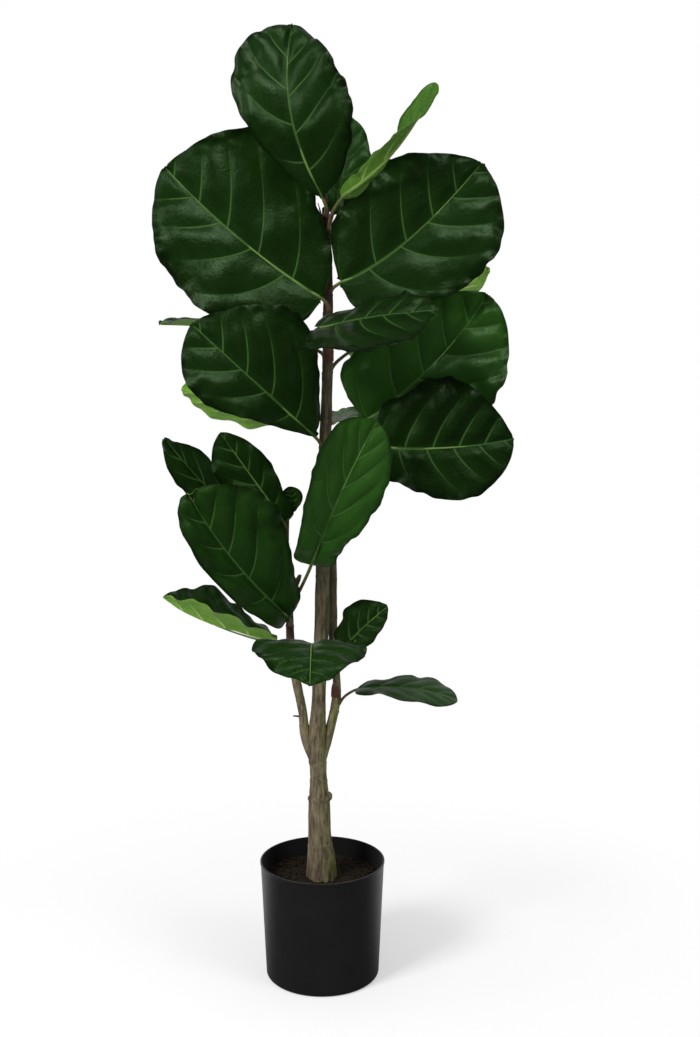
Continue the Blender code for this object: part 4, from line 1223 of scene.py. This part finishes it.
def stalk_material():
    """Stalk and midrib: red brown at the foot, through green, to pale green along the midrib."""
    material, n, shader = new_material("leaf_stalk", Specular_IOR_Level=0.35)
    where = n.where()
    run = n.attribute("run")
    patches = n.mottle(where, 0.008, 1.2)
    foot = n.mix(patches, (0.050, 0.026, 0.014), (0.120, 0.070, 0.030))
    green = n.mix(patches, (0.060, 0.085, 0.022), (0.095, 0.120, 0.034))
    pale = n.mix(patches, (0.075, 0.140, 0.030), (0.110, 0.190, 0.045))
    body = n.mix(n.remap(run, 0.35, 0.95), foot, green)
    body = n.mix(n.remap(run, 0.90, 1.25), body, pale)
    grain = n.noise(n.stretched(where, (1.0, 1.0, 0.3)), 900.0)
    finish(n, shader, body, n.remap(patches, 0.0, 1.0, 0.45, 0.60), grain, 0.0003)
    return material


def bark_material(settings):
    """Grey brown bark with upright streaks, olive on one side, red brown on the young wood, and painted
    shade darkening the stems among the leaves.
    """
    material, n, shader = new_material("fig_bark", Specular_IOR_Level=0.25)
    where = n.where()
    young = n.attribute("young")
    streaks = n.mottle(n.stretched(where, (1.0, 1.0, 0.14)), 0.0035, 1.5)
    patches = n.mottle(n.stretched(where, (1.0, 1.0, 0.5)), 0.014, 1.5)
    fibres = n.noise(n.stretched(where, (1.0, 1.0, 0.10)), 1500.0, 4.0, 0.65)
    grey = n.mix(patches, settings.bark_dark, settings.bark)
    olive = n.mix(patches, (0.060, 0.065, 0.018), (0.165, 0.165, 0.055))
    red = n.mix(patches, (0.020, 0.010, 0.008), (0.075, 0.034, 0.022))
    greenness = n.times(n.attribute("green"), n.remap(patches, 0.2, 0.7, 0.35, 0.95))
    body = n.mix(greenness, grey, olive)
    body = n.mix(n.remap(streaks, 0.50, 0.15, 0.0, 0.55), body, (0.022, 0.016, 0.010))
    body = n.mix(n.remap(streaks, 0.60, 0.95, 0.0, 0.40), body, (0.270, 0.235, 0.150))
    # Painted shade: from 0.36 m up, where the stems stand among the leaves, the bark is darkened up to
    # half way to a deep green black.
    body = n.mix(n.remap(n.part(where, "Z"), 0.36, 0.50, 0.0, 0.50), body, (0.012, 0.017, 0.004))
    body = n.mix(young, body, red)
    height = n.plus(n.plus(streaks, n.times(fibres, 0.5)), n.times(patches, 0.4))
    finish(n, shader, body, n.remap(young, 0.0, 1.0, 0.82, 0.62), height, 0.0012)
    return material


def bract_material(settings):
    """Dry red brown sheath with lengthwise fibres, paler towards its tip."""
    material, n, shader = new_material("dry_bract", Specular_IOR_Level=0.30)
    blade = n.attribute("blade", "Vector")
    fibres = n.noise(n.stretched(blade, (1.0, 0.10, 1.0)), 1400.0)
    patches = n.mottle(blade, 0.006, 1.3)
    body = n.mix(patches, settings.bract, (0.135, 0.050, 0.026))
    body = n.mix(n.remap(n.attribute("run"), 0.55, 1.0, 0.0, 0.6), body, (0.200, 0.130, 0.070))
    body = n.mix(n.remap(fibres, 0.35, 0.60, 0.5, 0.0), body, (0.025, 0.010, 0.007))
    finish(n, shader, body, n.remap(patches, 0.0, 1.0, 0.50, 0.72), fibres, 0.0005)
    return material


def pot_material(settings):
    """Satin black moulded plastic with a faint grain and slight scuffing."""
    material, n, shader = new_material("pot_plastic", Specular_IOR_Level=0.45, Sheen_Weight=0.12,
                                       Sheen_Roughness=0.35)
    where = n.where()
    patches = n.mottle(where, 0.030)
    scuffs = n.remap(n.noise(n.stretched(where, (1.0, 1.0, 3.0)), 160.0, 5.0, 0.7), 0.60, 0.72)
    worn = n.mix(0.06, settings.pot_colour, (0.05, 0.05, 0.05))
    body = n.mix(patches, settings.pot_colour, worn)
    body = n.mix(n.times(scuffs, 0.12), body, (0.08, 0.08, 0.08))
    rough = n.plus(n.remap(patches, 0.0, 1.0, 0.30, 0.37), n.times(scuffs, 0.10))
    finish(n, shader, body, rough, n.noise(where, 2600.0, 2.0), 0.00012)
    return material


def soil_material(settings):
    """Dark damp potting soil with paler fibres and crumbs."""
    material, n, shader = new_material("potting_soil", Specular_IOR_Level=0.20)
    where = n.where()
    crumbs = n.mottle(where, 0.0030, 1.6)
    patches = n.mottle(where, 0.020, 1.2)
    cells = n.add("ShaderNodeTexVoronoi", {"Vector": where, "Scale": 420.0}).outputs["Distance"]
    body = n.mix(crumbs, (0.008, 0.005, 0.004), settings.soil_colour)
    body = n.mix(n.times(patches, 0.5), body, (0.030, 0.021, 0.013))
    body = n.mix(n.times(n.remap(cells, 0.22, 0.10), 0.25), body, (0.110, 0.070, 0.038))
    rough = n.remap(crumbs, 0.0, 1.0, 0.97, 0.85)
    finish(n, shader, body, rough, n.plus(crumbs, n.times(cells, 0.6)), 0.0015)
    return material


def floor_material(settings):
    """Pale matt studio floor that glows as painted light: nearly half glow beside the plant, which
    lightens the plant's shadow on it, and all glow away from the plant, where it is the backdrop.

    In reflections it is the room instead: dark in front of the plant and paler behind it.
    """
    material, n, shader = new_material("studio_floor", Roughness=0.9, Specular_IOR_Level=0.1)
    where = n.where()
    tint = n.mix(n.noise(where, 6.0, 2.0), settings.floor_colour, (0.86, 0.86, 0.86))
    n.put(shader.inputs["Base Color"], tint)
    away = n.vector("LENGTH", {0: where})["Value"]
    # Painted light: the glow share runs from 0.45 beside the plant, lightening its shadow, to 1 at the
    # fade distance.
    fade = n.remap(away, 0.08, settings.floor_fade, 0.45, 1.0)
    room = n.remap(n.part(where, "Y"), -0.05, 0.25, settings.mirrored, settings.far_wall)
    reflected = n.add("ShaderNodeLightPath").outputs["Is Glossy Ray"]
    blend = shader.outputs[0]
    for share, strength in ((fade, settings.backdrop), (reflected, room)):
        glow = n.add("ShaderNodeEmission", {"Color": WHITE, "Strength": strength}).outputs[0]
        blend = n.add("ShaderNodeMixShader", {0: share, 1: blend, 2: glow}).outputs[0]
    n.put(material.node_tree.nodes["Material Output"].inputs["Surface"], blend)
    material.cycles.emission_sampling = "NONE"
    return material


# ---------------------------------------------------------------- settings


def size_setting(name, text, default):
    return bpy.props.FloatProperty(name=name, description=text, default=default, min=0.0, precision=5,
                                   unit="LENGTH")


def count_setting(name, text, default, lowest):
    return bpy.props.IntProperty(name=name, description=text, default=default, min=lowest)


def number_setting(name, text, default):
    return bpy.props.FloatProperty(name=name, description=text, default=default)


def colour_setting(name, text, default):
    return bpy.props.FloatVectorProperty(name=name, description=text, default=default, min=0.0, max=1.0,
                                         size=3, subtype="COLOR")


class FigLeafSettings(bpy.types.PropertyGroup):
    cell: size_setting("Cell", "Distance between the points of a blade", 0.0020)
    thickness: size_setting("Thickness", "Thickness of a blade", 0.0009)
    bract_thickness: size_setting("Bract Thickness", "Thickness of a dry bract", 0.0005)
    deep: colour_setting("Old Leaf", "Upper side of an old leaf", (0.0016, 0.0070, 0.0005))
    fresh: colour_setting("Fresh Leaf", "Upper side of a fresh leaf", (0.0160, 0.0620, 0.0065))
    young: colour_setting("Young Leaf", "Upper side of the newest leaf", (0.0380, 0.1080, 0.0100))
    glow: colour_setting("Beside Veins", "Upper side close to a vein", (0.0075, 0.0280, 0.0032))
    vein: colour_setting("Vein", "Veins on the upper side", (0.0420, 0.0950, 0.0220))
    underside: colour_setting("Underside", "Underside of a leaf", (0.1700, 0.3700, 0.0350))
    # Painted shade: the underside as it looks in shade, mixed with the lit underside by pale; it also
    # darkens random patches and the net.
    shaded: colour_setting("Dark Underside", "Underside at its darkest", (0.0300, 0.0800, 0.0080))
    bract: colour_setting("Bract", "Dry bracts and bud", (0.070, 0.022, 0.014))


class FigStemSettings(bpy.types.PropertyGroup):
    bark: colour_setting("Bark", "Old bark", (0.190, 0.150, 0.095))
    bark_dark: colour_setting("Dark Bark", "Darker patches of old bark", (0.085, 0.065, 0.042))


class FigPotSettings(bpy.types.PropertyGroup):
    sides: count_setting("Sides", "Sides of the round pot", 192, 24)
    clods: count_setting("Clods", "Loose clods on the soil", 700, 0)
    pot_colour: colour_setting("Pot", "Pot plastic", (0.0075, 0.0075, 0.0080))
    soil_colour: colour_setting("Soil", "Potting soil", (0.028, 0.022, 0.015))


class FigStageSettings(bpy.types.PropertyGroup):
    floor_colour: colour_setting("Floor", "Studio floor", (0.90, 0.90, 0.90))
    floor_radius: size_setting("Floor Radius", "Radius of the floor", 6.0)
    floor_fade: size_setting("Floor Fade", "Distance where the floor has become the backdrop", 0.75)
    backdrop: number_setting("Backdrop", "Brightness of the backdrop", 1.0)
    fill: number_setting("Fill", "Brightness of the light from all round", 0.37)
    mirrored: number_setting("Mirrored", "Brightness of the room in reflections", 0.010)
    far_wall: number_setting("Far Wall", "Brightness of the room's far side in reflections", 0.55)


# ---------------------------------------------------------------- operators


class FIG_OT_leaves(bpy.types.Operator):
    """Make every leaf with its stalk"""

    bl_idname = "fig.leaves"
    bl_label = "Leaves"

    def execute(self, context):
        settings = context.scene.fig_leaves
        materials = (leaf_top_material(settings), leaf_underside_material(settings), stalk_material())
        for index, (node, entry) in enumerate(LEAVES.items()):
            leaf = {**LEAF_DEFAULTS, **entry, **LOOK_DEFAULTS, **LOOKS.get(node, {})}
            mesh = leaf_mesh(node + "_blade", leaf, 100 + 10 * index, settings)
            place_piece(node + "_blade", mesh, node, materials, LEAF_SLACK)
        return {"FINISHED"}


class FIG_OT_trunk(bpy.types.Operator):
    """Make the trunk and its two side stems"""

    bl_idname = "fig.trunk"
    bl_label = "Trunk"

    def execute(self, context):
        material = bark_material(context.scene.fig_stems)
        place_piece("trunk_bark", trunk_mesh("trunk_bark"), "trunk", [material], ROUGH_SLACK)
        return {"FINISHED"}


class FIG_OT_bracts(bpy.types.Operator):
    """Make the dry bracts and the bud"""

    bl_idname = "fig.bracts"
    bl_label = "Bracts and Bud"

    def execute(self, context):
        settings = context.scene.fig_leaves
        material = bract_material(settings)
        for index, (node, bract) in enumerate(BRACTS.items()):
            mesh = bract_mesh(node + "_sheath", bract, 400 + 10 * index, settings.bract_thickness)
            place_piece(node + "_sheath", mesh, node, [material], BRACT_SLACK)
        place_piece("bud_tip", bud_mesh("bud_tip"), "bud", [material], BRACT_SLACK)
        return {"FINISHED"}


class FIG_OT_pot(bpy.types.Operator):
    """Make the pot and the soil in it"""

    bl_idname = "fig.pot"
    bl_label = "Pot and Soil"

    def execute(self, context):
        settings = context.scene.fig_pot
        pot = pot_mesh("plastic_pot", settings.sides)
        place_piece("plastic_pot", pot, "pot", [pot_material(settings)], POT_SLACK)
        soil = soil_mesh("potting_soil", settings.clods)
        place_piece("potting_soil", soil, "soil", [soil_material(settings)], ROUGH_SLACK)
        return {"FINISHED"}


class FIG_OT_stage(bpy.types.Operator):
    """Make the floor, the studio lights and the camera"""

    bl_idname = "fig.stage"
    bl_label = "Stage"

    def execute(self, context):
        settings = context.scene.fig_stage
        make_floor(settings)
        make_world(settings)
        for softbox in SOFTBOXES:
            make_softbox(*softbox)
        make_camera()
        context.scene.view_settings.view_transform = "Standard"
        return {"FINISHED"}


# ---------------------------------------------------------------- stage


def make_floor(settings):
    """A flat round floor; its rows crowd towards the plant."""
    radius = settings.floor_radius * np.linspace(0, 1, FLOOR_ROWS) ** 2
    height = np.full(FLOOR_ROWS, FLOOR_HEIGHT)
    surface = Surface()
    surface.add(turned_profile(radius, height, FLOOR_SIDES), closed=True, flipped=True)
    floor = bpy.data.objects.new("studio_floor", surface.mesh("studio_floor"))
    floor.data.materials.append(floor_material(settings))
    bpy.context.scene.collection.objects.link(floor)


def make_world(settings):
    """White backdrop, dimmer fill light, and in reflections a dark room with a pale far wall."""
    world = bpy.data.worlds.new("studio")
    world.use_nodes = True
    n = Nodes(world.node_tree)
    background = world.node_tree.nodes["Background"]
    ray = n.add("ShaderNodeLightPath").outputs
    n.put(background.inputs["Color"], WHITE)
    ahead = n.part(n.add("ShaderNodeTexCoord").outputs["Generated"], "Y")
    room = n.remap(ahead, 0.15, 0.75, settings.mirrored, settings.far_wall)
    lit = n.remap(ray["Is Glossy Ray"], 0.0, 1.0, settings.fill, room)
    seen = n.remap(ray["Is Camera Ray"], 0.0, 1.0, lit, settings.backdrop)
    n.put(background.inputs["Strength"], seen)
    world.cycles.sampling_method = "NONE"
    bpy.context.scene.world = world


def make_softbox(name, place, target_height, size, power, work):
    """A rectangular soft light that looks at a point above the origin and is not seen itself."""
    light = bpy.data.lights.new(name, "AREA")
    light.shape = "RECTANGLE"
    light.size, light.size_y = size
    light.energy = power
    item = bpy.data.objects.new(name, light)
    item.location = place
    way = Vector(np.subtract((0.0, 0.0, target_height), place))
    item.rotation_euler = way.to_track_quat("-Z", "Y").to_euler()
    item.visible_camera = False
    item.visible_glossy = work == "sheen"
    item.visible_diffuse = work == "body"
    bpy.context.scene.collection.objects.link(item)


def make_camera():
    """The camera looks straight ahead, tilted down."""
    camera = bpy.data.cameras.new("camera")
    camera.lens = CAMERA["lens"]
    camera.sensor_width = CAMERA["sensor"]
    camera.clip_end = 50
    item = bpy.data.objects.new("camera", camera)
    item.location = CAMERA["place"]
    item.rotation_euler = (math.radians(90 - CAMERA["tilt"]), 0.0, 0.0)
    bpy.context.scene.collection.objects.link(item)
    bpy.context.scene.camera = item


# ---------------------------------------------------------------- panel and run


class FIG_PT_sidebar(bpy.types.Panel):
    """Sidebar list of the plant's pieces and their settings"""

    bl_idname = "FIG_PT_sidebar"
    bl_label = "Fiddle Leaf Fig"
    bl_space_type = "VIEW_3D"
    bl_region_type = "UI"
    bl_category = "Fig"

    def draw(self, context):
        groups = (("fig_leaves", ("fig.leaves", "fig.bracts")), ("fig_stems", ("fig.trunk",)),
                  ("fig_pot", ("fig.pot",)), ("fig_stage", ("fig.stage",)))
        for group, operators in groups:
            box = self.layout.box()
            settings = getattr(context.scene, group)
            for label in settings.bl_rna.properties.keys():
                if label not in ("rna_type", "name"):
                    box.prop(settings, label)
            for operator in operators:
                box.operator(operator)


SETTINGS = (("fig_leaves", FigLeafSettings), ("fig_stems", FigStemSettings),
            ("fig_pot", FigPotSettings), ("fig_stage", FigStageSettings))
OPERATORS = (FIG_OT_leaves, FIG_OT_trunk, FIG_OT_bracts, FIG_OT_pot, FIG_OT_stage)


def register():
    for name, group in SETTINGS:
        bpy.utils.register_class(group)
        setattr(bpy.types.Scene, name, bpy.props.PointerProperty(type=group))
    for item in (*OPERATORS, FIG_PT_sidebar):
        bpy.utils.register_class(item)


def unregister():
    for item in (FIG_PT_sidebar, *reversed(OPERATORS)):
        bpy.utils.unregister_class(item)
    for name, group in reversed(SETTINGS):
        delattr(bpy.types.Scene, name)
        bpy.utils.unregister_class(group)


def main():
    """Register the classes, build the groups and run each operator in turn."""
    register()
    vein_group()
    mottle_group()
    bpy.ops.fig.leaves()
    bpy.ops.fig.trunk()
    bpy.ops.fig.bracts()
    bpy.ops.fig.pot()
    bpy.ops.fig.stage()


if __name__ == "__main__":
    main()
